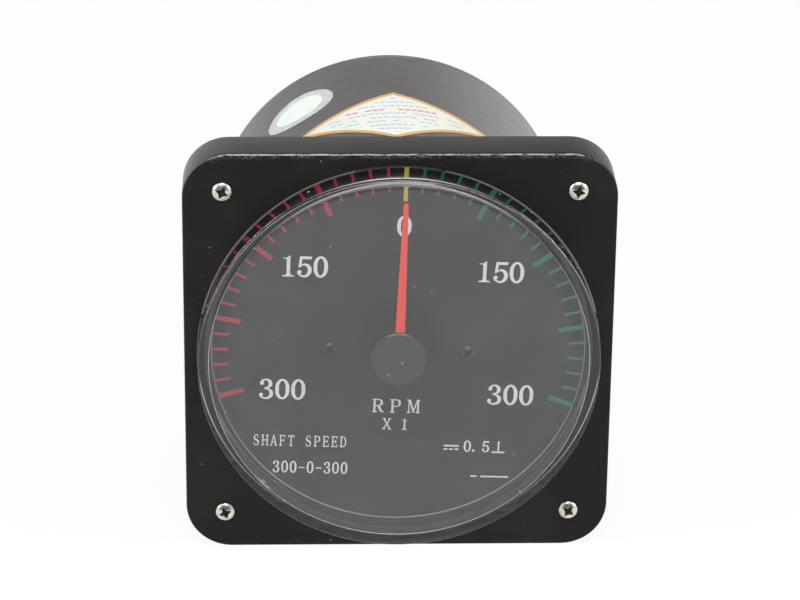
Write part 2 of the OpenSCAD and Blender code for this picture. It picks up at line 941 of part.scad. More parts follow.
// Bearing nuts: they lock the bearings in the plate and the bridge
module bearing_nuts() {
    color([0.7, 0.6, 0.35]) {
        hex_nut(bearing_nut_flats, bearing_r, plate_y - bearing_nut_t, plate_y);
        hex_nut(bearing_nut_flats, bearing_r, bridge_back_y, bridge_back_y + bearing_nut_t);
    }
}

// Rear bridge: it carries the rear bearing
module rear_bridge() {
    color([0.62, 0.62, 0.64])
    difference() {
        in_movement() slab(bridge_y, bridge_back_y) square([2 * bridge_half, bridge_w], center = true);
        bar(bearing_r, bridge_y - past, bridge_back_y + past);
        at_bridge_posts() bar(small_hole_r, bridge_y - past, bridge_back_y + past);
    }
}

module bridge_posts() {
    color([0.7, 0.7, 0.7])
    at_bridge_posts() pillar(plate_back_y, bridge_y, pillar_flats, plate_t);
}

module bridge_screws() {
    color([0.6, 0.6, 0.6])
    at_bridge_posts()
        screw(bridge_back_y, 1, small_r, bridge_t + grip, small_head_r, small_head_h, 40);
}

// Core ring: soft iron inside the coil, open at the top where the foot closes it
module core_ring() {
    color([0.5, 0.5, 0.52])
    in_movement() difference() {
        tube(core_r, core_in_r, core_y, core_back_y);
        translate([-foot_w / 2, core_y - past, 0]) cube([foot_w, core_len + 2 * past, core_r + past]);
    }
}

// Core foot: it closes the core ring and stands between the magnets
module core_foot() {
    color([0.55, 0.55, 0.57])
    in_movement() difference() {
        translate([-foot_w / 2, core_y, 0]) cube([foot_w, core_len, magnet_top]);
        bar(core_in_r, core_y - past, core_back_y + past);
        translate([-foot_w, core_y - past, -past])
            cube([2 * foot_w, core_len + 2 * past, past + sqrt(pow(core_in_r, 2) - pow(foot_w / 2, 2))]);
    }
}

// Magnets: one on either side of the core's foot
module magnets() {
    color([0.4, 0.4, 0.43])
    in_movement() for (side = [-1, 1])
        at(side * (foot_w + magnet_w) / 2, 0)
            slab(core_y, core_back_y)
                translate([-magnet_w / 2, magnet_bottom]) square([magnet_w, magnet_top - magnet_bottom]);
}

// Outer pole: a ring round the coil's path, open at the top, with a cheek beside each magnet
module outer_pole() {
    color([0.48, 0.48, 0.5])
    difference() {
        in_movement() slab(core_y, core_back_y)
            difference() {
                union() {
                    circle(pole_r, $fn = 128);
                    for (side = [-1, 1])
                        translate([side * (cheek_x + cheek_w / 2), magnet_top / 2])
                            square([cheek_w, magnet_top], center = true);
                }
                circle(pole_in_r, $fn = 128);
                translate([-cheek_x, 0]) square([2 * cheek_x, magnet_top + past]);
            }
        at_pole_screws() bar(small_hole_r, core_y - past, core_back_y + past);
    }
}

// Pole spacers and screws: they hold the magnet system behind the movement plate
module pole_spacers() {
    color([0.72, 0.72, 0.74])
    at_pole_screws() tube(spacer_r, small_hole_r, plate_back_y, core_y);
}

module pole_screws() {
    color([0.6, 0.6, 0.6])
    at_pole_screws()
        screw(core_back_y, 1, small_r, core_len + pole_standoff + plate_t, small_head_r, small_head_h);
}

// Circuit board: it turns the incoming signal into the coil's current
module circuit_board() {
    color([0.1, 0.35, 0.2])
    difference() {
        bar(board_r, board_y, board_back_y, 128);
        at_pillars() bar(small_r + slip, board_y - past, board_back_y + past);
    }
}

// Board pillars, from the movement plate to the board
module board_pillars() {
    color([0.7, 0.7, 0.7]) at_pillars() pillar(plate_back_y, board_y, pillar_flats, plate_t);
}

// Cover pillars, from the board to the rear cover
module cover_pillars() {
    color([0.7, 0.7, 0.7])
    at_pillars() pillar(board_back_y, cover_inner_y, pillar_flats, board_t + grip - past);
}

// A chip that stands on the back of the board
module chip(sizes) {
    in_movement()
        translate([sizes[0] - sizes[2] / 2, board_back_y, sizes[1] - sizes[3] / 2])
            cube([sizes[2], sizes[4], sizes[3]]);
}

// Control chips: a processor, a line receiver and a coil driver
module control_chips() {
    color([0.12, 0.12, 0.13]) for (sizes = [processor, receiver, driver]) chip(sizes);
}

// Capacitors: upright cans that smooth the supply
module capacitors() {
    color([0.2, 0.22, 0.3])
    in_movement() for (i = [-1 : 1])
        at(i * capacitor_pitch, capacitor_z)
            bar(capacitor_r, board_back_y, board_back_y + capacitor_h);
}

// Board connector: the supply and signal wires end here
module board_connector() {
    color([0.85, 0.83, 0.75])
    translate([-2.5 * wire_pitch, board_back_y, connector_z - connector_w / 2])
        cube([5 * wire_pitch, connector_h, connector_w]);
}

// Supply wires: from the connector to the heads of the terminal studs
module supply_wires() {
    color([0.6, 0.15, 0.12])
    for (i = [0 : 3]) {
        x_side = i % 2 == 0 ? -1 : 1;
        z_side = i < 2 ? 1 : -1;
        wire(
            [(i - 1.5) * wire_pitch, board_back_y + connector_h, connector_z],
            [x_side * terminal_dx / 2, cover_inner_y - terminal_head_t, z_side * terminal_dz / 2],
            wire_r
        );
    }
}

// Terminal plate: insulating, with a bush through the cover round each stud
module terminal_plate() {
    color([0.1, 0.1, 0.1])
    difference() {
        union() {
            slab(case_depth, terminal_foot_y)
                square([terminal_dx, terminal_dz] + 2 * terminal_margin * [1, 1], center = true);
            at_terminals() bar(bush_r, cover_inner_y, case_depth);
        }
        at_terminals() bar(terminal_r + slip, cover_inner_y - past, terminal_foot_y + past);
    }
}

// Terminal studs, each with its head inside the case
module terminal_studs() {
    color([0.78, 0.65, 0.3])
    at_terminals() {
        bar(terminal_root_r, cover_inner_y, terminal_nut_y);
        bar(terminal_r, terminal_nut_y, case_depth + terminal_out);
        bar(terminal_head_r, cover_inner_y - terminal_head_t, cover_inner_y);
    }
}

module terminal_washers() {
    color([0.75, 0.75, 0.75])
    at_terminals()
        tube(washer_r, terminal_r + slip, terminal_foot_y, terminal_foot_y + washer_t);
}

module terminal_nuts() {
    color([0.78, 0.65, 0.3])
    at_terminals()
        hex_nut(terminal_flats, terminal_root_r, terminal_nut_y - nut_t, terminal_nut_y);
}

front_frame();
window();
window_seal();
corner_screws();
case_flange();
flange_screws();
panel_gasket();
case_can();
rear_cover();
cover_screws();
rating_label();
round_sticker();
dial_plate();
left_marks();
right_marks();
zero_mark();
dial_screws();
dial_pillars();
pointer();
pointer_hub();
hub_cap();
balance_arms();
counterweights();
spindle();
coil_former();
coil_winding();
spring_collets();
front_hairspring();
rear_hairspring();
spring_posts();
end_stops();
movement_plate();
plate_screws();
front_bearing();
rear_bearing();
bearing_nuts();
rear_bridge();
bridge_posts();
bridge_screws();
core_ring();
core_foot();
magnets();
outer_pole();
pole_spacers();
pole_screws();
circuit_board();
board_pillars();
cover_pillars();
control_chips();
capacitors();
board_connector();
supply_wires();
terminal_plate();
terminal_studs();
terminal_washers();
terminal_nuts();
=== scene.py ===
import math

import bmesh
import bpy
from bpy.props import FloatProperty, FloatVectorProperty, PointerProperty
from mathutils import Matrix, Vector


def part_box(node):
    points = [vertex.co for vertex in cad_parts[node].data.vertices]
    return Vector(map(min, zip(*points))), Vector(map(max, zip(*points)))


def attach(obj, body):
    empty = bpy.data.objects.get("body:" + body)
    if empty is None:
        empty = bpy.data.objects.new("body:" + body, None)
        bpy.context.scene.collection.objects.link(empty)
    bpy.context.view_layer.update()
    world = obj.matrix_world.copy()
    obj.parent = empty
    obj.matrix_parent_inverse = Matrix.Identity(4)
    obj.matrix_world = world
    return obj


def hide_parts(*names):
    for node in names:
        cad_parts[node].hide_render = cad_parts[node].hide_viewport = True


bl_info = {
    "name": "Shaft speed indicator",
    "version": (1, 0, 0),
    "blender": (4, 5, 0),
    "location": "View3D > Sidebar > Indicator",
    "description": "Models and paints a panel-mounted shaft speed indicator on its frame",
    "category": "Object",
}

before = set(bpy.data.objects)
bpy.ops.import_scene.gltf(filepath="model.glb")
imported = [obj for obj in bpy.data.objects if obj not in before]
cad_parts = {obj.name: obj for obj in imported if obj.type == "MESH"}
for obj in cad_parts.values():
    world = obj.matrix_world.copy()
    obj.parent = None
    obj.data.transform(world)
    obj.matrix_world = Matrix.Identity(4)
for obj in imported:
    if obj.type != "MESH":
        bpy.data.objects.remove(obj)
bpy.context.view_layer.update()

# Sizes in this file are in millimetres and become metres through MM
MM = 0.001


def node_box(node):
    """The lowest and highest corner of a CAD node, in millimetres."""
    low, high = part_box(node)
    return low / MM, high / MM


# Places that come from the frame
frame_low, frame_high = node_box("front_frame")
window_low, window_high = node_box("window")
screws_low, screws_high = node_box("corner_screws")
can_low, can_high = node_box("case_can")
cover_low, cover_high = node_box("rear_cover")
label_low, label_high = node_box("rating_label")
dial_low, dial_high = node_box("dial_plate")
pointer_low, pointer_high = node_box("pointer")
cap_low, cap_high = node_box("hub_cap")
gasket_low, gasket_high = node_box("panel_gasket")
nuts_low, nuts_high = node_box("terminal_nuts")
plate_high = node_box("terminal_plate")[1]
studs_high = node_box("terminal_studs")[1]

FRONT_Y = frame_low.y
HALF_W = frame_high.x
CAN_R = can_high.x
CASE_END_Y = cover_high.y
DIAL_Y = dial_low.y

# Sizes that the frame's boxes don't give
SCREW_AT = 49.0
SCREW_BOSS_R, SCREW_BOSS_END = 4.5, 5.5
SCREW_HOLE_R, GASKET_HOLE_R = 1.6, 1.8
GASKET_OPENING_R = 53.2
DIAL_TURN = math.radians(1.9)
DIAL_SCREW_X = 19.4
INK_T = 0.03
POINTER_FOOT, POINTER_RING_R, POINTER_BORE_R = 6.7, 3.0, 1.82
TERMINAL_X, TERMINAL_Z = 12.0, 9.0
TERMINAL_HOLE_R, NUT_BORE_R = 2.1, 1.8
NUT_CORNER_R = 7 / math.sqrt(3)
PILLAR_RING_R = 41.0
STICKER_LEAN = math.radians(-31.5)

# How far past a face a cutter reaches, and how near a face a point counts as on it
PAST, NEAR = 1.0, 0.01


# Small tools for shaping

def leave_edit():
    """Back to object mode, with nothing selected."""
    if bpy.context.object and bpy.context.object.mode != "OBJECT":
        bpy.ops.object.mode_set(mode="OBJECT")
    bpy.ops.object.select_all(action="DESELECT")


def work_on(piece):
    """Makes a piece the only selected and active one."""
    leave_edit()
    piece.select_set(True)
    bpy.context.view_layer.objects.active = piece


def edit(piece):
    """Opens a piece in edit mode, with no other piece selected."""
    work_on(piece)
    bpy.ops.object.mode_set(mode="EDIT")


def bake_place():
    """Moves the selected object's place, turn and scale into its mesh."""
    bpy.ops.object.transform_apply(location=True, rotation=True, scale=True)


def take(name):
    """Names the new primitive, bakes its place into its mesh and opens it in edit mode."""
    piece = bpy.context.object
    piece.name = piece.data.name = name
    bake_place()
    bpy.ops.object.mode_set(mode="EDIT")
    bpy.ops.mesh.select_mode(type="VERT")
    return piece


def pick(kind, test):
    """In edit mode, selects the verts, edges or faces whose every corner passes the test, in mm."""
    bpy.ops.mesh.select_mode(type=kind)
    bpy.ops.mesh.select_all(action="DESELECT")
    shape = bmesh.from_edit_mesh(bpy.context.object.data)
    if kind == "VERT":
        for vert in shape.verts:
            vert.select_set(test(vert.co / MM))
    else:
        for part in shape.edges if kind == "EDGE" else shape.faces:
            part.select_set(all(test(vert.co / MM) for vert in part.verts))
    shape.select_flush_mode()
    bmesh.update_edit_mesh(bpy.context.object.data)


def extrude(x=0.0, y=0.0):
    """In edit mode, extrudes what is selected by so many millimetres."""
    bpy.ops.mesh.extrude_region_move(TRANSFORM_OT_translate={"value": (x * MM, y * MM, 0)})


def close_up():
    """In edit mode, merges doubled points and turns the faces outwards."""
    bpy.ops.mesh.select_mode(type="VERT")
    bpy.ops.mesh.select_all(action="SELECT")
    bpy.ops.mesh.remove_doubles(threshold=0.002 * MM)
    bpy.ops.mesh.normals_make_consistent(inside=False)


def draw_line(name, points):
    """A bare line from point to point, left open in edit mode. Each point is [x, y]."""
    leave_edit()
    bpy.ops.mesh.primitive_plane_add(size=MM, location=(points[0][0] * MM, points[0][1] * MM, 0))
    piece = take(name)
    bpy.ops.mesh.select_all(action="SELECT")
    bpy.ops.mesh.merge(type="CENTER")
    for before, after in zip(points, points[1:]):
        extrude(after[0] - before[0], after[1] - before[1])
    return piece


def turn(name, points, steps):
    """A body of revolution about Y. Each point of its outline is [radius, y]."""
    piece = draw_line(name, points)
    bpy.ops.mesh.select_all(action="SELECT")
    bpy.ops.mesh.spin(steps=steps, angle=2 * math.pi, center=(0, 0, 0), axis=(0, 1, 0))
    close_up()
    leave_edit()
    return piece


def apply(piece, kind, **settings):
    """Adds a modifier, sets it up and applies it."""
    work_on(piece)
    modifier = piece.modifiers.new(kind.title(), kind)
    for key, value in settings.items():
        setattr(modifier, key, value)
    bpy.ops.object.modifier_apply(modifier=modifier.name)


def soften(piece, width, segments, angle):
    """Bevels every edge that is sharper than the angle in degrees."""
    apply(
        piece, "BEVEL", width=width * MM, segments=segments, limit_method="ANGLE",
        angle_limit=math.radians(angle), harden_normals=False,
    )


def cut(piece, cutter, operation="DIFFERENCE"):
    """A boolean with a cutter, which is then removed. Cut faces take the cutter's material."""
    apply(
        piece, "BOOLEAN", object=cutter, operation=operation, solver="EXACT",
        material_mode="TRANSFER",
    )
    bpy.data.objects.remove(cutter)


def round_bar(radius, front, back, x=0.0, z=0.0, sides=48, name="cutter"):
    """A plain bar along Y, for cutting."""
    leave_edit()
    bpy.ops.mesh.primitive_cylinder_add(
        vertices=sides, radius=radius * MM, depth=(back - front) * MM,
        location=(x * MM, (front + back) / 2 * MM, z * MM), rotation=(math.pi / 2, 0, 0),
    )
    piece = take(name)
    leave_edit()
    return piece


def block(low, high, name):
    """A plain box between two corners, as a start."""
    leave_edit()
    low, high = Vector(low), Vector(high)
    bpy.ops.mesh.primitive_cube_add(size=MM, location=(low + high) / 2 * MM, scale=high - low)
    piece = take(name)
    leave_edit()
    return piece


def copy(piece, name, place):
    """A copy with its own mesh, set in place by a matrix whose shift is in millimetres."""
    work_on(piece)
    bpy.ops.object.duplicate(linked=False)
    twin = bpy.context.object
    twin.name = twin.data.name = name
    place = place.copy()
    place.translation = place.translation * MM
    twin.matrix_world = place @ twin.matrix_world
    bake_place()
    leave_edit()
    return twin


def corners(x, z):
    """The four points that lie so far to either side of the axis, and above and below it."""
    return [(side * x, end * z) for side in (-1, 1) for end in (-1, 1)]


def shift(x, y, z):
    """The matrix of a shift."""
    return Matrix.Translation((x, y, z))


def turned(angle, axis="Y"):
    """The matrix of a turn by an angle in radians."""
    return Matrix.Rotation(angle, 4, axis)


def finish_piece(piece, *looks, body="case", slot=None, nodes=(), smooth=32):
    """Shades a piece, paints it and fixes it to its body in place of its CAD nodes."""
    work_on(piece)
    bpy.ops.object.shade_smooth_by_angle(angle=math.radians(smooth))
    if looks:
        piece.data.materials.clear()
    for look in looks:
        piece.data.materials.append(look)
    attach(piece, body)
    if nodes:
        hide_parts(*nodes)
    leave_edit()


def arc(middle_x, middle_y, radius, start, end, steps):
    """Points of a circle's arc, with angles in degrees from +X towards +Y."""
    angles = [math.radians(start + (end - start) * i / steps) for i in range(steps + 1)]
    return [[middle_x + radius * math.cos(a), middle_y + radius * math.sin(a)] for a in angles]


# Finishes

class Wiring:
    """A node tree being made."""

    def __init__(self, tree):
        self.nodes = tree.nodes
        self.links = tree.links

    def node(self, kind, **settings):
        """Adds a node and sets it up."""
        node = self.nodes.new(kind)
        for key, value in settings.items():
            setattr(node, key, value)
        return node

    def put(self, socket, value):
        """Sets a socket, or links it where the value is another socket."""
        if isinstance(value, bpy.types.NodeSocket):
            self.links.new(value, socket)
        else:
            socket.default_value = value

    def math(self, operation, *values):
        """The result of a sum on numbers and sockets."""
        node = self.node("ShaderNodeMath", operation=operation)
        for socket, value in zip(node.inputs, values):
            self.put(socket, value)
        return node.outputs[0]

    def both(self, *masks):
        """Where every one of the masks holds, each of them a number or a socket."""
        total = masks[0]
        for mask in masks[1:]:
            total = self.math("MULTIPLY", total, mask)
        return total

    def ease(self, value, low, high):
        """0 at low and 1 at high, smooth between them."""
        node = self.node("ShaderNodeMapRange", interpolation_type="SMOOTHSTEP")
        self.put(node.inputs["Value"], value)
        node.inputs["From Min"].default_value = low
        node.inputs["From Max"].default_value = high
        return node.outputs["Result"]

    def fade(self, value, low, high):
        """0 where the value in metres is at low mm and 1 at high mm, smooth between them."""
        return self.ease(value, low * MM, high * MM)

    def between(self, value, low, high):
        """Low where the value is 0 and high where it is 1."""
        node = self.node("ShaderNodeMapRange")
        self.put(node.inputs["Value"], value)
        node.inputs["To Min"].default_value = low
        node.inputs["To Max"].default_value = high
        return node.outputs["Result"]

    def mix_shaders(self, share, first, second):
        """The first shader where the share is 0 and the second where it is 1."""
        node = self.node("ShaderNodeMixShader")
        for socket, value in zip(node.inputs, (share, first, second)):
            self.put(socket, value)
        return node.outputs[0]

    def matt(self, colour):
        """A plain matt shader."""
        node = self.node("ShaderNodeBsdfDiffuse")
        node.inputs["Color"].default_value = (*colour, 1)
        return node.outputs[0]


class Finish(Wiring):
    """A material being made: a shader, and patterns that read the piece's own place."""

    def __init__(self, name, colour, roughness, metallic=0.0, specular=0.5, **shader):
        self.material = bpy.data.materials.new(name)
        self.material.use_nodes = True
        super().__init__(self.material.node_tree)
        self.shader = self.nodes["Principled BSDF"]
        self.shader.inputs["Metallic"].default_value = metallic
        self.shader.inputs["Specular IOR Level"].default_value = specular
        for key, value in shader.items():
            self.shader.inputs[key.replace("_", " ")].default_value = value
        self.place = self.node("ShaderNodeTexCoord").outputs["Object"]
        self.colour = (*colour, 1.0)
        self.roughness = roughness
        self.shine = specular
        self.shader.inputs["Base Color"].default_value = self.colour
        self.shader.inputs["Roughness"].default_value = roughness

    def away(self, x, z, up=0.0, right=0.0):
        """The distance across the front from a point near the axis, in metres."""
        wide = self.math("SUBTRACT", x, right * MM)
        high = self.math("SUBTRACT", z, up * MM)
        return self.math("SQRT", self.math("ADD", self.both(wide, wide), self.both(high, high)))

    def line(self, value, middle, width, soft=0.06):
        """A line of that width in mm where the value in metres passes the middle in mm."""
        off = self.math("ABSOLUTE", self.math("SUBTRACT", value, middle * MM))
        return self.fade(off, width / 2 + soft, width / 2 - soft)

    def spot(self, place, radius):
        """A small spot round a place in mm."""
        gap = self.node("ShaderNodeVectorMath", operation="DISTANCE")
        self.put(gap.inputs[0], self.place)
        gap.inputs[1].default_value = [part * MM for part in place]
        return self.fade(gap.outputs["Value"], radius, radius * 0.5)

    def split(self):
        """The place's x, y and z, in metres."""
        node = self.node("ShaderNodeSeparateXYZ")
        self.put(node.inputs[0], self.place)
        return node.outputs["X"], node.outputs["Y"], node.outputs["Z"]

    def mapped(self, stretch=(1, 1, 1), angles=(0, 0, 0)):
        """The place, stretched and turned."""
        node = self.node("ShaderNodeMapping")
        self.put(node.inputs["Vector"], self.place)
        node.inputs["Scale"].default_value = stretch
        node.inputs["Rotation"].default_value = angles
        return node.outputs[0]

    def noise(self, size, detail=2.0, stretch=(1, 1, 1)):
        """A cloudy pattern whose patches are about size mm across."""
        node = self.node("ShaderNodeTexNoise")
        self.put(node.inputs["Vector"], self.mapped(stretch))
        node.inputs["Scale"].default_value = 1 / (size * MM)
        node.inputs["Detail"].default_value = detail
        return node.outputs["Fac"]

    def patches(self, low, high, size, detail=2.0, stretch=(1, 1, 1)):
        """Cloudy patches about size mm across, 0 where the pattern is low and 1 where it is high."""
        return self.ease(self.noise(size, detail, stretch), low, high)

    def specks(self, spacing, radius, share, across=("X", "Z"), long=1.0):
        """Small spots, in that share of cells that are spacing mm apart across the piece."""
        parts = self.node("ShaderNodeSeparateXYZ")
        self.put(parts.inputs[0], self.place)
        flat = self.node("ShaderNodeCombineXYZ")
        self.put(flat.inputs[0], self.math("DIVIDE", parts.outputs[across[0]], long))
        self.put(flat.inputs[1], parts.outputs[across[1]])
        node = self.node("ShaderNodeTexVoronoi", voronoi_dimensions="2D")
        self.put(node.inputs["Vector"], flat.outputs[0])
        node.inputs["Scale"].default_value = 1 / (spacing * MM)
        reach = radius / spacing
        spot = self.ease(node.outputs["Distance"], reach, reach * 0.4)
        chosen = self.node("ShaderNodeSeparateColor")
        self.put(chosen.inputs[0], node.outputs["Color"])
        return self.both(spot, self.math("LESS_THAN", chosen.outputs[0], share))

    def tint(self, factor, colour):
        """Mixes the colour so far towards another."""
        node = self.node("ShaderNodeMix", data_type="RGBA")
        self.put(node.inputs[0], factor)
        self.put(node.inputs[6], self.colour)
        node.inputs[7].default_value = (*colour, 1.0)
        self.colour = node.outputs[2]
        self.links.new(self.colour, self.shader.inputs["Base Color"])

    def rub(self, factor, roughness):
        """Mixes the roughness so far towards another."""
        node = self.node("ShaderNodeMix")
        self.put(node.inputs[0], factor)
        self.put(node.inputs[2], self.roughness)
        node.inputs[3].default_value = roughness
        self.roughness = node.outputs[0]
        self.links.new(self.roughness, self.shader.inputs["Roughness"])

    def gloss(self, factor, level):
        """Mixes the strength of the reflection so far towards another."""
        node = self.node("ShaderNodeMix")
        self.put(node.inputs[0], factor)
        self.put(node.inputs[2], self.shine)
        node.inputs[3].default_value = level
        self.shine = node.outputs[0]
        self.links.new(self.shine, self.shader.inputs["Specular IOR Level"])

    def bump(self, height, depth):
        """Raises the surface by up to depth mm."""
        node = self.node("ShaderNodeBump")
        node.inputs["Distance"].default_value = depth * MM
        self.put(node.inputs["Height"], height)
        self.links.new(node.outputs["Normal"], self.shader.inputs["Normal"])


def frame_paint(settings):
    """Near-black moulding: matt in front, smoother sides, with a painted highlight, partly wear, along the
    top front edge and a painted highlight round the upper part of the opening.
    """
    coat = Finish("frame_black", settings.colour, 0.46, specular=0.185)
    coat.tint(coat.patches(0.4, 0.7, 30), (0.013, 0.013, 0.012))
    coat.rub(coat.patches(0.45, 0.75, 6, 3), 0.54)
    coat.bump(coat.noise(0.35, 2), 0.004)
    x, y, z = coat.split()
    side = coat.fade(y, FRONT_Y, FRONT_Y + settings.bevel * 0.6)
    coat.gloss(side, 0.28)
    coat.gloss(coat.both(side, coat.fade(x, -48, -8)), 0.16)
    coat.gloss(coat.both(side, coat.fade(x, -42, -52), coat.fade(z, 40, 52)), 0.45)
    coat.rub(side, 0.3)
    straight = (HALF_W - settings.corner) * MM
    outwards = [
        coat.math("MAXIMUM", coat.math("SUBTRACT", coat.math("ABSOLUTE", part), straight), 0.0)
        for part in (x, z)
    ]
    squares = [coat.both(out, out) for out in outwards]
    reach = coat.math("SQRT", coat.math("ADD", *squares))
    inside = coat.math("SUBTRACT", settings.corner * MM, reach)
    # The pale line along the top front bevel is a painted highlight, partly wear: only along the top, ragged
    # at its edge and broken in patches
    ragged = coat.noise(1.6, 4, stretch=(0.35, 1, 1))
    depth = coat.math("ADD", y, coat.both(coat.math("SUBTRACT", ragged, 0.5), 0.5 * MM))
    edge = coat.both(
        coat.fade(inside, settings.bevel * 0.85, settings.bevel * 0.55),
        coat.fade(depth, FRONT_Y + settings.bevel * 0.44, FRONT_Y + settings.bevel * 0.26),
    )
    top = coat.both(coat.fade(z, 53, 59), coat.fade(coat.math("ABSOLUTE", x), 57, 47))
    chipped = coat.patches(0.36, 0.5, 0.7, 4, stretch=(0.4, 1, 1))
    coat.tint(coat.both(edge, top, chipped, settings.highlight_and_wear), (0.54, 0.53, 0.5))
    shade = coat.both(
        coat.fade(y, FRONT_Y + 1.2, FRONT_Y + 0.95), coat.fade(y, FRONT_Y + 0.4, FRONT_Y + 0.55),
    )
    coat.gloss(coat.both(shade, top), 0.08)
    # Pale fuzzy marks on the front just inside the top edge, beside the painted highlight
    fuzz = coat.both(
        coat.fade(inside, 1.9, 0.7), coat.patches(0.47, 0.62, 0.4, 4),
        coat.patches(0.35, 0.6, 5, 2), top, coat.fade(y, FRONT_Y + 0.3, FRONT_Y),
    )
    coat.tint(coat.both(fuzz, 0.85), (0.2, 0.2, 0.19))
    # A painted highlight round the edge of the opening, fading out towards the bottom, with fine hatched
    # cuts
    ring = coat.both(
        coat.fade(coat.away(x, z), settings.opening + 0.32, settings.opening + 0.22),
        coat.fade(y, FRONT_Y + 0.4, FRONT_Y + 0.2), coat.fade(z, -30, 15),
    )
    turns = math.tau * settings.opening / settings.hatch
    hatch = coat.math("SINE", coat.both(coat.math("ARCTAN2", x, z), turns))
    coat.tint(coat.both(ring, coat.math("MULTIPLY_ADD", hatch, 0.32, 0.68)), (0.34, 0.34, 0.32))
    coat.tint(coat.both(coat.specks(7, 0.16, 0.3), 0.5), (0.2, 0.2, 0.19))
    coat.tint(coat.both(coat.specks(31, 0.24, 0.4), 0.8), (0.4, 0.4, 0.38))
    return coat.material


# Small pale spots on the side of the window: degrees to the right of the top, depth and radius in mm
RIM_SPOTS = [
    (-26.8, -16.4, 0.42), (28.9, -15.8, 0.34), (39.8, -14.6, 0.38), (53.1, -16.8, 0.4), (60.6, -17.0, 0.4),
    (-71.8, -19.6, 0.4),
]


def rim_lines(coat, x, y, z, front, inner, outer):
    """The painted lines of light in the rim of the window, and a painted crescent of light at its top."""
    streaks = coat.patches(0.36, 0.62, 0.45, 4, stretch=(0.1, 1, 1))
    aside = coat.math("ABSOLUTE", x)
    radius = coat.away(x, z)

    edge = coat.both(
        coat.line(radius, outer - 0.27, 0.18), coat.fade(z, 5, 20),
        coat.math("MULTIPLY_ADD", coat.fade(aside, 30, 4), 0.55, 0.05),
    )
    second_r = outer + 0.03
    second_from = coat.away(x, z, -0.91, 0.24)
    second = coat.both(
        coat.line(second_from, second_r, 0.2), coat.fade(z, 5, 25),
        coat.math("MULTIPLY_ADD", streaks, 0.14, 0.25),
    )
    above_wing = coat.math("SUBTRACT", coat.away(x, z, 2.63), 51.86 * MM)
    in_rim = coat.fade(radius, inner + 0.1, inner + 0.45)
    crescent = coat.both(
        coat.fade(second_from, second_r - 0.1, second_r - 0.3), in_rim,
        coat.fade(aside, 15, 5), coat.fade(z, 10, 20),
        coat.math("MULTIPLY_ADD", coat.fade(radius, inner + 0.3, inner + 1.6), 0.3, 0.14),
        coat.math("MULTIPLY_ADD", streaks, 0.4, 0.75),
    )
    wings = coat.both(
        coat.fade(above_wing, 0.2, 0), coat.fade(above_wing, -1.1, 0), in_rim,
        coat.fade(aside, 46, 12), coat.fade(z, 10, 30), 0.5,
        coat.math("MULTIPLY_ADD", streaks, 0.25, 0.85),
    )
    low = coat.both(
        coat.line(coat.away(x, z, 3.67), 56.04, 0.26),
        coat.fade(z, -1, -9), coat.fade(radius, inner - 0.1, inner + 0.1),
        coat.math("MULTIPLY_ADD", coat.fade(z, -42, -10), 0.5, 0.16),
    )
    smudge = coat.both(
        coat.spot((-38.1, front, -36.4), 3.4), coat.line(radius, 52.5, 0.9, 0.3),
        coat.patches(0.42, 0.6, 0.5, 4), 0.3,
    )
    total = edge
    for part in (second, crescent, wings, low, smudge):
        total = coat.math("MAXIMUM", total, part)
    return coat.both(total, coat.fade(y, front + 0.75, front + 0.6))


def clear_plastic(settings):
    """Clear moulded plastic that lets the lamps through, with painted lines of light round its rim, and a
    little dusty.
    """
    coat = Finish("clear_window", settings.tint, 0.0, Transmission_Weight=1.0, IOR=settings.ior)
    x, y, z = coat.split()
    front, outer = window_low.y, window_high.x - settings.lip
    inner = outer - settings.wall
    rim_light_and_dust = rim_lines(coat, x, y, z, front, inner, outer)
    on_front = coat.fade(y, front + 0.3, front + 0.1)
    dust = coat.math("MAXIMUM", coat.specks(7, 0.16, 0.3), coat.specks(19, 0.2, 0.5, long=3.0))
    rim_light_and_dust = coat.math("MAXIMUM", rim_light_and_dust, coat.both(dust, on_front, 0.45))
    for turn_deg, depth, bit in RIM_SPOTS:
        way = math.radians(turn_deg)
        place = (outer * math.sin(way), depth, outer * math.cos(way))
        rim_light_and_dust = coat.math("MAXIMUM", rim_light_and_dust, coat.both(coat.spot(place, bit), 0.75))
    radius = coat.away(x, z)
    # Painted shade: a lower IOR, so less reflection, in a band under the crescent and in a band low in the
    # rim
    under = coat.both(
        coat.fade(coat.away(x, z, -1.75), 53.8, 54.7), coat.fade(z, 5, 20),
        coat.fade(radius, inner + 0.15, inner - 0.05),
    )
    below = coat.both(
        coat.fade(coat.away(x, z, 3.67), 56.1, 56.4), coat.fade(z, -2, -12),
        coat.fade(radius, inner, inner + 0.2),
        coat.patches(0.3, 0.7, 0.5, 3, stretch=(0.1, 1, 1)),
    )
    bend = coat.math("MULTIPLY_ADD", under, 1.32 - settings.ior, settings.ior)
    coat.put(coat.shader.inputs["IOR"], coat.math("MULTIPLY_ADD", below, 1.42 - settings.ior, bend))
    # A pale matt shader mixed in where the mask is: the painted lines of light, dust and the small pale
    # spots
    glass_with_light = coat.mix_shaders(rim_light_and_dust, coat.shader.outputs[0], coat.matt((0.86, 0.84, 0.8)))
    shaded = coat.node("ShaderNodeLightPath").outputs["Is Shadow Ray"]
    clear = coat.node("ShaderNodeBsdfTransparent").outputs[0]
    coat.put(coat.nodes["Material Output"].inputs["Surface"], coat.mix_shaders(shaded, glass_with_light, clear))
    return coat.material


def bare_metal(name, colour, roughness):
    """Plain metal with a fine grain and patches that have dulled."""
    coat = Finish(name, colour, roughness, metallic=1.0)
    dull = coat.patches(0.4, 0.75, 3, 3)
    coat.tint(coat.both(dull, 0.7), [part * 0.7 for part in colour])
    coat.rub(dull, roughness + 0.15)
    coat.bump(coat.noise(0.4, 2), 0.003)
    return coat.material


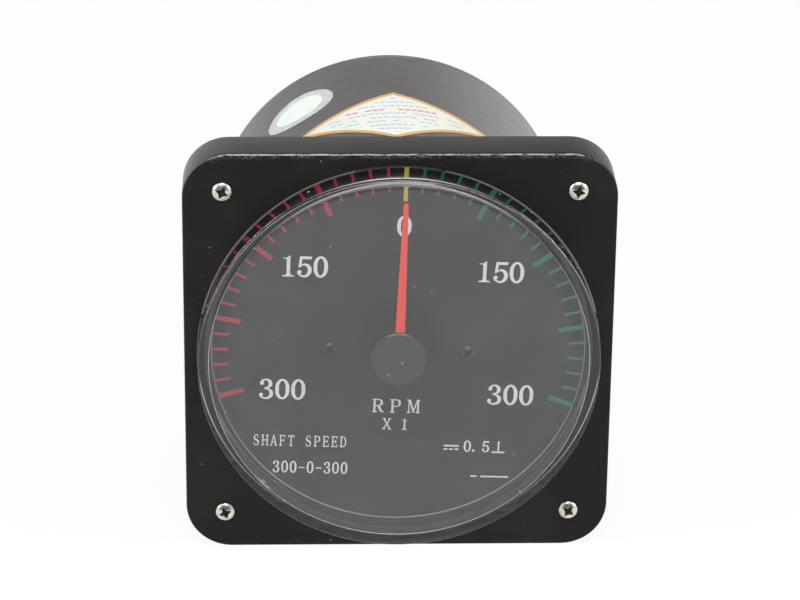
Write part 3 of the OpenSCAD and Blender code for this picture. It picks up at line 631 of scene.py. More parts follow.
def dark_paint(name, colour, roughness, specular=0.25, grain=0.5, across=("X", "Z")):
    """Dark satin paint with a faint texture and a little dust."""
    coat = Finish(name, colour, roughness, specular=specular)
    coat.tint(coat.patches(0.35, 0.8, 18, 2), [part * 1.4 for part in colour])
    coat.rub(coat.patches(0.4, 0.8, 5, 3), roughness + 0.05)
    coat.bump(coat.noise(grain, 2), 0.003)
    coat.tint(coat.both(coat.specks(5, 0.14, 0.22, across), 0.6), (0.25, 0.25, 0.24))
    coat.tint(coat.both(coat.specks(17, 0.22, 0.35, across, 1.6), 0.8), (0.5, 0.5, 0.48))
    return coat


def dial_paint(settings):
    """Matt black paint with painted shade along the top of its outer ring and a painted shadow round the hub
    cap, and a paler line at its cut edge that is painted brighter towards the bottom.
    """
    coat = dark_paint("dial_black", settings.colour, 0.65, 0.12)
    x, _, z = coat.split()
    # Painted shade: the outer ring of the dial darker along its upper part
    rim = coat.both(coat.fade(coat.away(x, z), 48.9, 49.3), coat.fade(z, -4, 6))
    coat.tint(rim, (0.006, 0.006, 0.0062))
    # Painted shadow of the hub cap: darker round a point a little above the hub
    coat.tint(coat.both(coat.fade(coat.away(x, z, 5), 15, 8), 0.6), (0.004, 0.004, 0.004))
    # The paler line at the cut edge, painted brighter towards the bottom as light
    lit = coat.math("MULTIPLY_ADD", coat.fade(z, -10, -50), 0.5, 0.5)
    coat.tint(coat.both(coat.line(coat.away(x, z), dial_high.x - 0.3, 0.36), lit), (0.26, 0.26, 0.26))
    return coat.material


def cap_paint():
    """Satin black with a painted highlight on the upper edge."""
    coat = dark_paint("cap_black", (0.008, 0.008, 0.008), 0.3, 0.5)
    x, _, z = coat.split()
    # Painted highlight along the upper edge of the cap
    rub = coat.both(
        coat.line(coat.away(x, z), cap_high.x - 0.18, 0.22), coat.fade(z, 6.8, 7.3),
        coat.patches(0.3, 0.55, 0.8, 3),
    )
    coat.tint(coat.both(rub, 0.9), (0.2, 0.2, 0.19))
    sides = coat.both(coat.fade(coat.away(x, z), 7.3, 7.5), coat.fade(z, 7.2, 6.5))
    coat.gloss(sides, 0.3)
    for across, up, radius in ((0.75, -1.15, 0.26), (1.05, -0.75, 0.28), (-2.95, -4.55, 0.3)):
        coat.tint(coat.spot((across, cap_low.y, up), radius), (0.34, 0.34, 0.33))
    return coat.material


def dial_screw_black():
    """Black oxide, with a painted highlight along the edge of the recess, strongest below, and a painted
    glint on the upper side of each head.
    """
    coat = dark_paint("screw_black", (0.014, 0.014, 0.014), 0.3, 0.1)
    x, _, z = coat.split()
    tip, notch = 1.62, 0.6
    flank = math.hypot(notch, tip - notch)
    for side in (-1, 1):
        middle = turned(DIAL_TURN) @ Vector((side * DIAL_SCREW_X, DIAL_Y - 1.0, 0))
        wide = coat.math("ABSOLUTE", coat.math("SUBTRACT", x, middle.x * MM))
        rise = coat.math("SUBTRACT", z, middle.z * MM)
        high = coat.math("ABSOLUTE", rise)
        along = coat.both(coat.math("MAXIMUM", wide, high), notch)
        across = coat.both(coat.math("MINIMUM", wide, high), tip - notch)
        off = coat.math("DIVIDE", coat.math("ADD", along, across), flank)
        # Painted highlight along the edge of the cross recess, stronger on its lower half
        edge = coat.line(off, tip * notch / flank + 0.12, 0.24)
        low = coat.math("MULTIPLY_ADD", coat.fade(rise, 0.7, -0.4), 0.65, 0.35)
        near = coat.fade(coat.math("MAXIMUM", wide, high), 2.1, 1.9)
        coat.tint(coat.both(edge, low, near), (0.1, 0.1, 0.097))
        # Painted glint on the upper side of the head
        for right in (-0.4, 0, 0.4):
            coat.tint(coat.spot((middle.x + right, middle.y, middle.z + 1.95), 0.42), (0.15, 0.15, 0.145))
    return coat.material


def can_paint(settings):
    """Glossy black paint with a painted sheen towards its right side and a little on its left, a painted
    highlight along its rear edge, and a few scuffs.
    """
    coat = dark_paint("can_black", settings.colour, 0.27, 0.42, 0.6, ("X", "Y"))
    x, y, _ = coat.split()
    # Painted sheen: paler towards the right side, and a little towards the left
    coat.tint(coat.both(coat.fade(x, 2, 40), 0.75), (0.125, 0.124, 0.122))
    coat.tint(coat.both(coat.fade(x, -30, -52), 0.3), (0.1, 0.1, 0.1))
    # Painted highlight along the rear edge
    edge = coat.both(
        coat.fade(y, can_high.y - 0.5, can_high.y - 0.2), coat.fade(y, can_high.y + 0.6, can_high.y + 0.3),
    )
    coat.tint(coat.both(edge, 0.5), (0.12, 0.12, 0.12))
    scuffs = coat.both(coat.specks(19, 0.7, 0.3, ("X", "Y"), 2.5), coat.patches(0.45, 0.6, 0.5, 4))
    coat.tint(coat.both(scuffs, 0.7), (0.22, 0.22, 0.21))
    return coat.material


def print_ink(name, colour):
    """Screen-printed ink, a little uneven at its edge."""
    coat = Finish(name, colour, 0.55, specular=0.3)
    coat.tint(coat.both(coat.patches(0.45, 0.75, 0.5, 3), 0.25), [part * 0.72 for part in colour])
    coat.bump(coat.noise(0.2, 2), 0.002)
    return coat.material


def grime():
    """Dry brown dirt in a screw's recess."""
    coat = Finish("recess_grime", (0.045, 0.03, 0.015), 0.85, specular=0.2)
    coat.tint(coat.patches(0.42, 0.7, 0.35, 3), (0.13, 0.085, 0.04))
    coat.bump(coat.noise(0.25, 3), 0.05)
    return coat.material


def rubber():
    """Dull black rubber."""
    coat = Finish("black_rubber", (0.018, 0.018, 0.018), 0.75, specular=0.25)
    coat.tint(coat.patches(0.45, 0.75, 2, 3), (0.032, 0.032, 0.031))
    coat.bump(coat.noise(0.3, 3), 0.02)
    return coat.material


def label_paper(settings):
    """Cream card with a gold border and rows of plain ruled dashes."""
    coat = Finish("label_card", (0.74, 0.76, 0.71), 0.5, specular=0.35)
    x, y, _ = coat.split()
    coat.tint(coat.both(coat.fade(x, 0, 24), 0.7), (0.74, 0.71, 0.59))
    coat.tint(coat.both(coat.patches(0.4, 0.7, 9, 3), 0.3), (0.7, 0.71, 0.62))
    middle_y = (label_low.y + label_high.y) / 2
    half_x, half_y = label_high.x, (label_high.y - label_low.y) / 2
    along = coat.math("DIVIDE", coat.math("ABSOLUTE", x), half_x * MM)
    from_middle = coat.math("ABSOLUTE", coat.math("SUBTRACT", y, middle_y * MM))
    across = coat.math("DIVIDE", from_middle, half_y * MM)
    corner_to_edge = half_x * half_y / math.hypot(half_x, half_y)
    inside = coat.both(coat.math("SUBTRACT", 1.0, coat.math("ADD", along, across)), corner_to_edge)

    row = coat.math("DIVIDE", coat.math("SUBTRACT", y, middle_y * MM), settings.row_pitch * MM)
    number = coat.math("FLOOR", row)
    height = coat.math("SUBTRACT", row, number)
    written = coat.both(coat.ease(height, 0.2, 0.26), coat.ease(height, 0.6, 0.54))
    step = coat.math("ADD", coat.math("DIVIDE", x, settings.dash * MM), coat.both(number, 0.37))
    cell = coat.math("FLOOR", step)
    part = coat.math("SUBTRACT", step, cell)
    chance = coat.node("ShaderNodeTexWhiteNoise", noise_dimensions="2D")
    pair = coat.node("ShaderNodeCombineXYZ")
    coat.put(pair.inputs[0], cell)
    coat.put(pair.inputs[1], number)
    coat.put(chance.inputs["Vector"], pair.outputs[0])
    kept = coat.math("GREATER_THAN", chance.outputs["Value"], 0.3)
    dashes = coat.both(written, kept, coat.ease(part, 0.82, 0.76), coat.ease(inside, 3.2, 3.5))
    red_row = coat.math("COMPARE", number, 1.0, 0.5)
    coat.tint(coat.both(dashes, 0.5), (0.16, 0.33, 0.5))
    coat.tint(coat.both(dashes, red_row, 0.85), (0.7, 0.13, 0.1))
    coat.tint(coat.ease(inside, settings.border, settings.border - 0.15), (0.6, 0.36, 0.12))
    coat.bump(coat.noise(0.4, 3), 0.006)
    return coat.material


def sticker_foil():
    """Dull silver foil of the sticker's ring."""
    coat = Finish("sticker_foil", (0.5, 0.52, 0.53), 0.35, specular=0.5)
    coat.tint(coat.patches(0.42, 0.7, 2.5, 3), (0.6, 0.62, 0.62))
    coat.bump(coat.noise(0.5, 2), 0.006)
    return coat.material


def sticker_middle():
    """Pale green paper of the sticker's middle."""
    coat = Finish("sticker_middle", (0.78, 0.87, 0.79), 0.5, specular=0.4)
    coat.tint(coat.patches(0.45, 0.75, 3, 3), (0.85, 0.9, 0.84))
    coat.bump(coat.noise(0.5, 2), 0.005)
    return coat.material


def fired_board():
    """Green solder mask over faint tracks."""
    coat = Finish("board_green", (0.012, 0.13, 0.055), 0.3, specular=0.5)
    tracks = coat.node("ShaderNodeTexBrick", offset=0.5)
    coat.put(tracks.inputs["Vector"], coat.mapped(angles=(math.pi / 2, 0, 0)))
    tracks.inputs["Scale"].default_value = 1 / (6 * MM)
    tracks.inputs["Mortar Size"].default_value = 0.05
    coat.tint(coat.both(tracks.outputs["Fac"], 0.8), (0.03, 0.22, 0.09))
    coat.bump(tracks.outputs["Fac"], 0.03)
    return coat.material


def wound_wire():
    """Copper whose turns show as fine bands."""
    coat = Finish("copper_wire", (0.72, 0.28, 0.12), 0.35, metallic=1.0)
    turns = coat.node("ShaderNodeTexWave", wave_type="BANDS", bands_direction="X")
    coat.put(turns.inputs["Vector"], coat.place)
    turns.inputs["Scale"].default_value = 1 / (1.2 * MM)
    turns.inputs["Distortion"].default_value = 0.4
    coat.tint(coat.both(turns.outputs["Fac"], 0.5), (0.4, 0.13, 0.05))
    coat.bump(turns.outputs["Fac"], 0.04)
    return coat.material


def capacitor_sleeve():
    """Shrunk sleeve of a capacitor, with a pale stripe along one side."""
    coat = Finish("capacitor_sleeve", (0.02, 0.025, 0.06), 0.35, specular=0.5)
    stripes = coat.node("ShaderNodeTexWave", wave_type="BANDS", bands_direction="X")
    coat.put(stripes.inputs["Vector"], coat.place)
    stripes.inputs["Scale"].default_value = 1 / (45 * MM)
    coat.tint(coat.ease(stripes.outputs["Fac"], 0.9, 0.95), (0.5, 0.52, 0.55))
    coat.bump(coat.noise(0.6, 2), 0.01)
    return coat.material


def moulded(name, colour, roughness=0.5):
    """Plain moulded plastic."""
    coat = Finish(name, colour, roughness, specular=0.45)
    coat.tint(coat.patches(0.45, 0.75, 2, 3), [part * 0.85 for part in colour])
    coat.bump(coat.noise(0.4, 2), 0.008)
    return coat.material


LOOKS = {}


def look(name):
    """A finish by its name, made the first time that it is asked for."""
    scene = bpy.context.scene
    makers = {
        "frame_black": lambda: frame_paint(scene.indicator_frame),
        "clear_window": lambda: clear_plastic(scene.indicator_window),
        "black_rubber": rubber,
        "nickel_screw": lambda: bare_metal("nickel_screw", (0.72, 0.7, 0.64), 0.2),
        "recess_grime": grime,
        # The dial screws' cross recess, much darker than the head: painted shade in the recess
        "recess_black": lambda: dark_paint("recess_black", (0.003, 0.003, 0.003), 0.8, 0.02).material,
        "case_black": lambda: dark_paint("case_black", (0.012, 0.012, 0.012), 0.5).material,
        "can_black": lambda: can_paint(scene.indicator_case),
        "label_card": lambda: label_paper(scene.indicator_label),
        "sticker_foil": sticker_foil,
        "sticker_middle": sticker_middle,
        "dial_black": lambda: dial_paint(scene.indicator_dial),
        "mark_red": lambda: print_ink("mark_red", (0.29, 0.016, 0.03)),
        "mark_green": lambda: print_ink("mark_green", (0.004, 0.12, 0.07)),
        "mark_yellow": lambda: print_ink("mark_yellow", (0.42, 0.34, 0.05)),
        "figure_white": lambda: print_ink("figure_white", (0.6, 0.6, 0.61)),
        "screw_black": dial_screw_black,
        "pointer_red": lambda: print_ink("pointer_red", scene.indicator_pointer.colour),
        "cap_black": cap_paint,
        "brass": lambda: bare_metal("brass", (0.72, 0.5, 0.2), 0.28),
        "steel": lambda: bare_metal("steel", (0.56, 0.56, 0.57), 0.28),
        "zinc_screw": lambda: bare_metal("zinc_screw", (0.6, 0.61, 0.62), 0.3),
        "aluminium": lambda: bare_metal("aluminium", (0.7, 0.71, 0.72), 0.4),
        "copper_wire": wound_wire,
        "bronze_spring": lambda: bare_metal("bronze_spring", (0.66, 0.42, 0.2), 0.25),
        "soft_iron": lambda: bare_metal("soft_iron", (0.33, 0.33, 0.34), 0.5),
        "magnet": lambda: bare_metal("magnet", (0.2, 0.2, 0.21), 0.6),
        "board_green": fired_board,
        "chip_black": lambda: moulded("chip_black", (0.02, 0.02, 0.022), 0.6),
        "capacitor_sleeve": capacitor_sleeve,
        "connector_cream": lambda: moulded("connector_cream", (0.72, 0.68, 0.55)),
        "wire_red": lambda: moulded("wire_red", (0.4, 0.02, 0.015), 0.4),
        "terminal_black": lambda: moulded("terminal_black", (0.015, 0.015, 0.016), 0.45),
    }
    if name not in LOOKS:
        LOOKS[name] = makers[name]()
    return LOOKS[name]


# The finish of each CAD node that stays as it is
NODE_LOOKS = {
    "window_seal": "black_rubber", "case_flange": "case_black", "flange_screws": "zinc_screw",
    "dial_plate": "dial_black", "left_marks": "mark_red", "right_marks": "mark_green",
    "zero_mark": "mark_yellow", "dial_pillars": "brass", "pointer_hub": "brass",
    "balance_arms": "brass", "counterweights": "brass", "spindle": "steel",
    "coil_former": "aluminium", "coil_winding": "copper_wire", "spring_collets": "brass",
    "front_hairspring": "bronze_spring", "rear_hairspring": "bronze_spring",
    "spring_posts": "brass", "end_stops": "steel", "movement_plate": "aluminium",
    "plate_screws": "zinc_screw", "front_bearing": "brass", "rear_bearing": "brass",
    "bearing_nuts": "brass", "rear_bridge": "aluminium", "bridge_posts": "steel",
    "bridge_screws": "zinc_screw", "core_ring": "soft_iron", "core_foot": "soft_iron",
    "magnets": "magnet", "outer_pole": "soft_iron", "pole_spacers": "aluminium",
    "pole_screws": "zinc_screw", "circuit_board": "board_green", "board_pillars": "steel",
    "cover_pillars": "steel", "control_chips": "chip_black", "capacitors": "capacitor_sleeve",
    "board_connector": "connector_cream", "supply_wires": "wire_red",
}


# Settings that a user would change

def size(name, description, default, low, high):
    """A length in millimetres."""
    return FloatProperty(name=name, description=description, default=default, min=low, max=high)


def share(name, description, default):
    """A part of one."""
    return FloatProperty(
        name=name, description=description, default=default, min=0, max=1, subtype="FACTOR",
    )


def angle(name, description, default):
    """An angle, written in degrees."""
    return FloatProperty(
        name=name, description=description, default=math.radians(default), subtype="ANGLE",
    )


def paint(name, description, default):
    """A colour."""
    return FloatVectorProperty(
        name=name, description=description, default=default, subtype="COLOR", size=3, min=0, max=1,
    )


class IndicatorFrameSettings(bpy.types.PropertyGroup):
    colour: paint("Colour", "Paint of the front frame", (0.008, 0.008, 0.0078))
    corner: size("Corner radius", "Radius of the frame's corners, in mm", 13.0, 5.0, 20.0)
    bevel: size("Edge bevel", "Bevel along the front edge, in mm", 0.7, 0.2, 2.0)
    # How bright the painted highlight along the top front edge is; the line is partly wear
    highlight_and_wear: share("Wear", "How bright the worn edge is", 0.7)
    wall: size("Front wall", "Thickness of the front wall, in mm", 2.5, 1.0, 4.0)
    skirt: size("Skirt", "Thickness of the skirt, in mm", 2.4, 1.0, 4.0)
    opening: size("Opening radius", "Radius of the opening for the window, in mm", 56.15, 40.0, 58.0)
    hatch: size("Hatch", "Distance between the fine cuts round the opening, in mm", 0.45, 0.1, 2.0)


class IndicatorWindowSettings(bpy.types.PropertyGroup):
    tint: paint("Tint", "Colour of the clear plastic", (0.97, 0.98, 0.98))
    ior: FloatProperty(name="IOR", description="Refraction of the plastic", default=1.56, min=1, max=2)
    wall: size("Wall", "Thickness of the window's wall, in mm", 3.0, 1.0, 5.0)
    front: size("Front", "Thickness of the window's front, in mm", 1.5, 1.0, 5.0)
    lip: size("Lip", "Width of the lip behind the frame, in mm", 1.2, 0.5, 2.0)
    rounding: size("Rounding", "Radius of the front edge, in mm", 0.7, 0.2, 2.0)
    fillet: size("Fillet", "Radius inside the front edge, in mm", 0.25, 0.1, 2.0)


class IndicatorDialSettings(bpy.types.PropertyGroup):
    colour: paint("Colour", "Paint of the dial", (0.018, 0.018, 0.0182))


class IndicatorPointerSettings(bpy.types.PropertyGroup):
    colour: paint("Colour", "Paint of the pointer", (0.7, 0.045, 0.025))
    base: size("Base width", "Width of the pointer at its hub, in mm", 3.2, 1.0, 6.0)
    tip: size("Tip width", "Width of the pointer at its tip, in mm", 1.3, 0.5, 4.0)


class IndicatorCaseSettings(bpy.types.PropertyGroup):
    colour: paint("Colour", "Paint of the can", (0.012, 0.0115, 0.011))
    wall: size("Wall", "Thickness of the can's wall, in mm", 1.5, 0.5, 3.0)


class IndicatorLabelSettings(bpy.types.PropertyGroup):
    border: size("Border", "Width of the gold border, in mm", 1.7, 0.5, 4.0)
    row_pitch: size("Row pitch", "Distance between the ruled rows, in mm", 3.1, 1.0, 6.0)
    dash: size("Dash", "Length of a dash with its gap, in mm", 1.9, 0.5, 6.0)
    sticker_y: size("Sticker place", "Distance from the panel to the sticker, in mm", 62.5, 30.0, 80.0)
    sticker_r: size("Sticker radius", "Radius of the round sticker, in mm", 11.1, 5.0, 15.0)


class IndicatorStageSettings(bpy.types.PropertyGroup):
    camera: FloatVectorProperty(
        name="Camera", description="Place of the camera, in mm", default=(-32.84, -884.28, 393.12),
        subtype="XYZ",
    )
    heading: angle("Heading", "Turn of the camera from +Y towards +X", 2.172)
    tilt: angle("Tilt", "How far the camera looks down", 23.372)
    roll: angle("Roll", "Turn of the camera to the left", 0.665)
    lens: size("Lens", "Focal length in mm, on a sensor 36 mm wide", 153.63, 10.0, 500.0)
    sky: share("Sky", "Strength of the plain sky", 0.25)


# Operators, one for each piece or group of like pieces, each with what it needs before it

def round_corners(half, radius):
    """In edit mode, rounds the four corners of a square plate whose sides are half mm out."""
    on_side = half - NEAR
    pick("EDGE", lambda c: abs(c.x) > on_side and abs(c.z) > on_side)
    shape = bmesh.from_edit_mesh(bpy.context.object.data)
    for edge in shape.edges:
        way = edge.verts[0].co - edge.verts[1].co
        edge.select_set(edge.select and abs(way.y) > 1 * MM)
    shape.select_flush_mode()
    bmesh.update_edit_mesh(bpy.context.object.data)
    bpy.ops.mesh.bevel(offset=radius * MM, segments=20, profile=0.5, affect="EDGES")


class INDICATOR_OT_front_frame(bpy.types.Operator):
    """Model the square moulding round the window"""
    bl_idname = "indicator.front_frame"
    bl_label = "Front frame"
    bl_options = {"REGISTER", "UNDO"}

    def execute(self, context):
        s = context.scene.indicator_frame
        inner_y, back_y = FRONT_Y + s.wall, frame_high.y
        piece = block((-HALF_W, FRONT_Y, -HALF_W), (HALF_W, back_y, HALF_W), "frame_moulding")
        edit(piece)
        round_corners(HALF_W, s.corner)
        pick("FACE", lambda c: c.y > back_y - NEAR)
        bpy.ops.mesh.inset(thickness=s.skirt * MM, depth=0)
        extrude(y=inner_y - back_y)
        close_up()
        leave_edit()
        cut(piece, round_bar(s.opening, FRONT_Y - PAST, inner_y + PAST, sides=192))
        for x, z in corners(SCREW_AT, SCREW_AT):
            boss = round_bar(SCREW_BOSS_R, inner_y - 0.5, back_y - SCREW_BOSS_END, x, z)
            cut(piece, boss, "UNION")
            cut(piece, round_bar(SCREW_HOLE_R, FRONT_Y - PAST, back_y + PAST, x, z))
        self.bevel_front(piece, s.bevel)
        finish_piece(piece, look("frame_black"), slot="frame_black", nodes=("front_frame",), smooth=24)
        return {"FINISHED"}

    @staticmethod
    def bevel_front(piece, width):
        """A bevel round the outline, with a painted highlight and some wear along its top, and a fine one
        round the opening.
        """
        edit(piece)
        pick("EDGE", lambda c: c.y < FRONT_Y + NEAR and max(abs(c.x), abs(c.z)) > 55)
        shape = bmesh.from_edit_mesh(piece.data)
        for edge in shape.edges:
            steep = [face for face in edge.link_faces if abs(face.normal.y) < 0.5]
            edge.select_set(edge.select and len(steep) == 1)
        shape.select_flush_mode()
        bmesh.update_edit_mesh(piece.data)
        bpy.ops.mesh.bevel(offset=width * MM, segments=3, profile=0.5, affect="EDGES")
        pick("EDGE", lambda c: c.y < FRONT_Y + NEAR and 50 < math.hypot(c.x, c.z) < 57)
        bpy.ops.mesh.bevel(offset=0.12 * MM, segments=1, affect="EDGES")
        leave_edit()


class INDICATOR_OT_window(bpy.types.Operator):
    """Model the clear cup that stands in front of the dial"""
    bl_idname = "indicator.window"
    bl_label = "Window"
    bl_options = {"REGISTER", "UNDO"}

    def execute(self, context):
        s = context.scene.indicator_window
        front, foot = window_low.y, window_high.y
        lip_r = window_high.x
        outer_r = lip_r - s.lip
        inner_r = outer_r - s.wall
        seat = FRONT_Y + context.scene.indicator_frame.wall
        inner_front = front + s.front
        outline = [[0, front]]
        outline += arc(outer_r - s.rounding, front + s.rounding, s.rounding, -90, 0, 8)
        outline += [[outer_r, seat], [lip_r, seat], [lip_r, foot], [inner_r, foot]]
        outline += arc(inner_r - s.fillet, inner_front + s.fillet, s.fillet, 0, -90, 6)
        outline += [[0, inner_front]]
        piece = turn("window_cup", outline, 256)
        finish_piece(piece, look("clear_window"), slot="clear_window", nodes=("window",), smooth=40)
        return {"FINISHED"}


def cross_star(head_r, head_h, recess):
    """The cutter of a cross recess: a bar of four points that narrows towards its foot."""
    star = round_bar(1.04 * head_r, -head_h - 0.5, -0.25 * head_h, sides=8)
    edit(star)
    quarter = math.pi / 2
    pick("VERT", lambda c: abs((math.atan2(c.z, c.x) / quarter) % 1 - 0.5) < 0.1)
    bpy.ops.transform.resize(value=(0.43, 1, 0.43), center_override=(0, 0, 0))
    pick("VERT", lambda c: c.y > -0.3 * head_h)
    bpy.ops.transform.resize(value=(0.45, 1, 0.45), center_override=(0, 0, 0))
    leave_edit()
    star.data.materials.append(look(recess))
    return star


def pan_screw(name, finish, head_r, head_h, shank_r, reach, recess="recess_grime"):
    """A cross-recessed pan head screw on the axis, its seat at y = 0 and its head towards -Y."""
    rise = 0.72 * head_h
    dome_r = (head_r ** 2 + rise ** 2) / (2 * rise)
    half_angle = math.degrees(math.asin(head_r * 0.96 / dome_r))
    outline = arc(0, -head_h + dome_r, dome_r, -90, -90 + half_angle, 8)
    outline += [[head_r, outline[-1][1] + 0.12 * head_h], [head_r, -0.08 * head_h]]
    outline += [[head_r * 0.97, 0], [shank_r, 0], [shank_r, reach], [0, reach]]
    piece = turn(name, outline, 48)
    star = cross_star(head_r, head_h, recess)
    piece.data.materials.append(look(finish))
    cut(piece, star)
    return piece


def threaded_rod(name, radius, root_r, start, end, pitch):
    """A rod along Y with a helical thread, trimmed flat at both ends."""
    piece = draw_line(name, [
        [root_r, start - pitch], [root_r + 0.05, start - 0.85 * pitch], [radius, start - 0.55 * pitch],
        [radius, start - 0.45 * pitch], [root_r + 0.05, start - 0.15 * pitch], [root_r, start],
    ])
    apply(
        piece, "SCREW", axis="Y", angle=2 * math.pi, screw_offset=pitch * MM,
        iterations=math.ceil((end - start) / pitch) + 1, steps=20, render_steps=20,
        use_merge_vertices=True, merge_threshold=0.002 * MM,
    )
    edit(piece)
    close_up()
    for place, clear_inner in ((start, True), (end, False)):
        bpy.ops.mesh.select_all(action="SELECT")
        bpy.ops.mesh.bisect(
            plane_co=(0, place * MM, 0), plane_no=(0, 1, 0), use_fill=True,
            clear_inner=clear_inner, clear_outer=not clear_inner, threshold=0.0001 * MM,
        )
    close_up()
    leave_edit()
    return piece


class INDICATOR_OT_corner_screws(bpy.types.Operator):
    """Model the four fixing screws, each with its threaded end behind the frame"""
    bl_idname = "indicator.corner_screws"
    bl_label = "Corner screws"
    bl_options = {"REGISTER", "UNDO"}

    cross_turns = (10, 35, -20, 25)

    def execute(self, context):
        head_h = FRONT_Y - screws_low.y
        model = pan_screw(
            "corner_screw", "nickel_screw", head_r=2.75, head_h=head_h, shank_r=1.2, reach=0.4 - FRONT_Y,
        )
        for i, cross_turn in enumerate(self.cross_turns):
            place = turned(math.pi / 2 * i) @ shift(SCREW_AT, FRONT_Y, SCREW_AT)
            place = place @ turned(math.radians(cross_turn))
            screw = copy(model, f"corner_screw_{i + 1}", place)
            finish_piece(screw, slot="nickel_screw", nodes=("corner_screws",) if i == 0 else ())
        bpy.data.objects.remove(model)
        rod = threaded_rod(
            "corner_stud", radius=1.5, root_r=1.22, start=0, end=screws_high.y, pitch=0.5,
        )
        for i in range(4):
            place = turned(math.pi / 2 * i) @ shift(SCREW_AT, 0, SCREW_AT)
            stud = copy(rod, f"corner_stud_{i + 1}", place)
            finish_piece(stud, look("nickel_screw"), slot="nickel_screw", smooth=50)
        bpy.data.objects.remove(rod)
        return {"FINISHED"}


# Outlines of the dial's figures and letters, 1 high, round x = 0. A point is (x, height) or,
# where the outline has a sharp corner, (x, height, "corner").
CORNER = "corner"


def sharp(*points):
    """An outline whose every point is a corner."""
    return [(x, height, CORNER) for x, height in points]


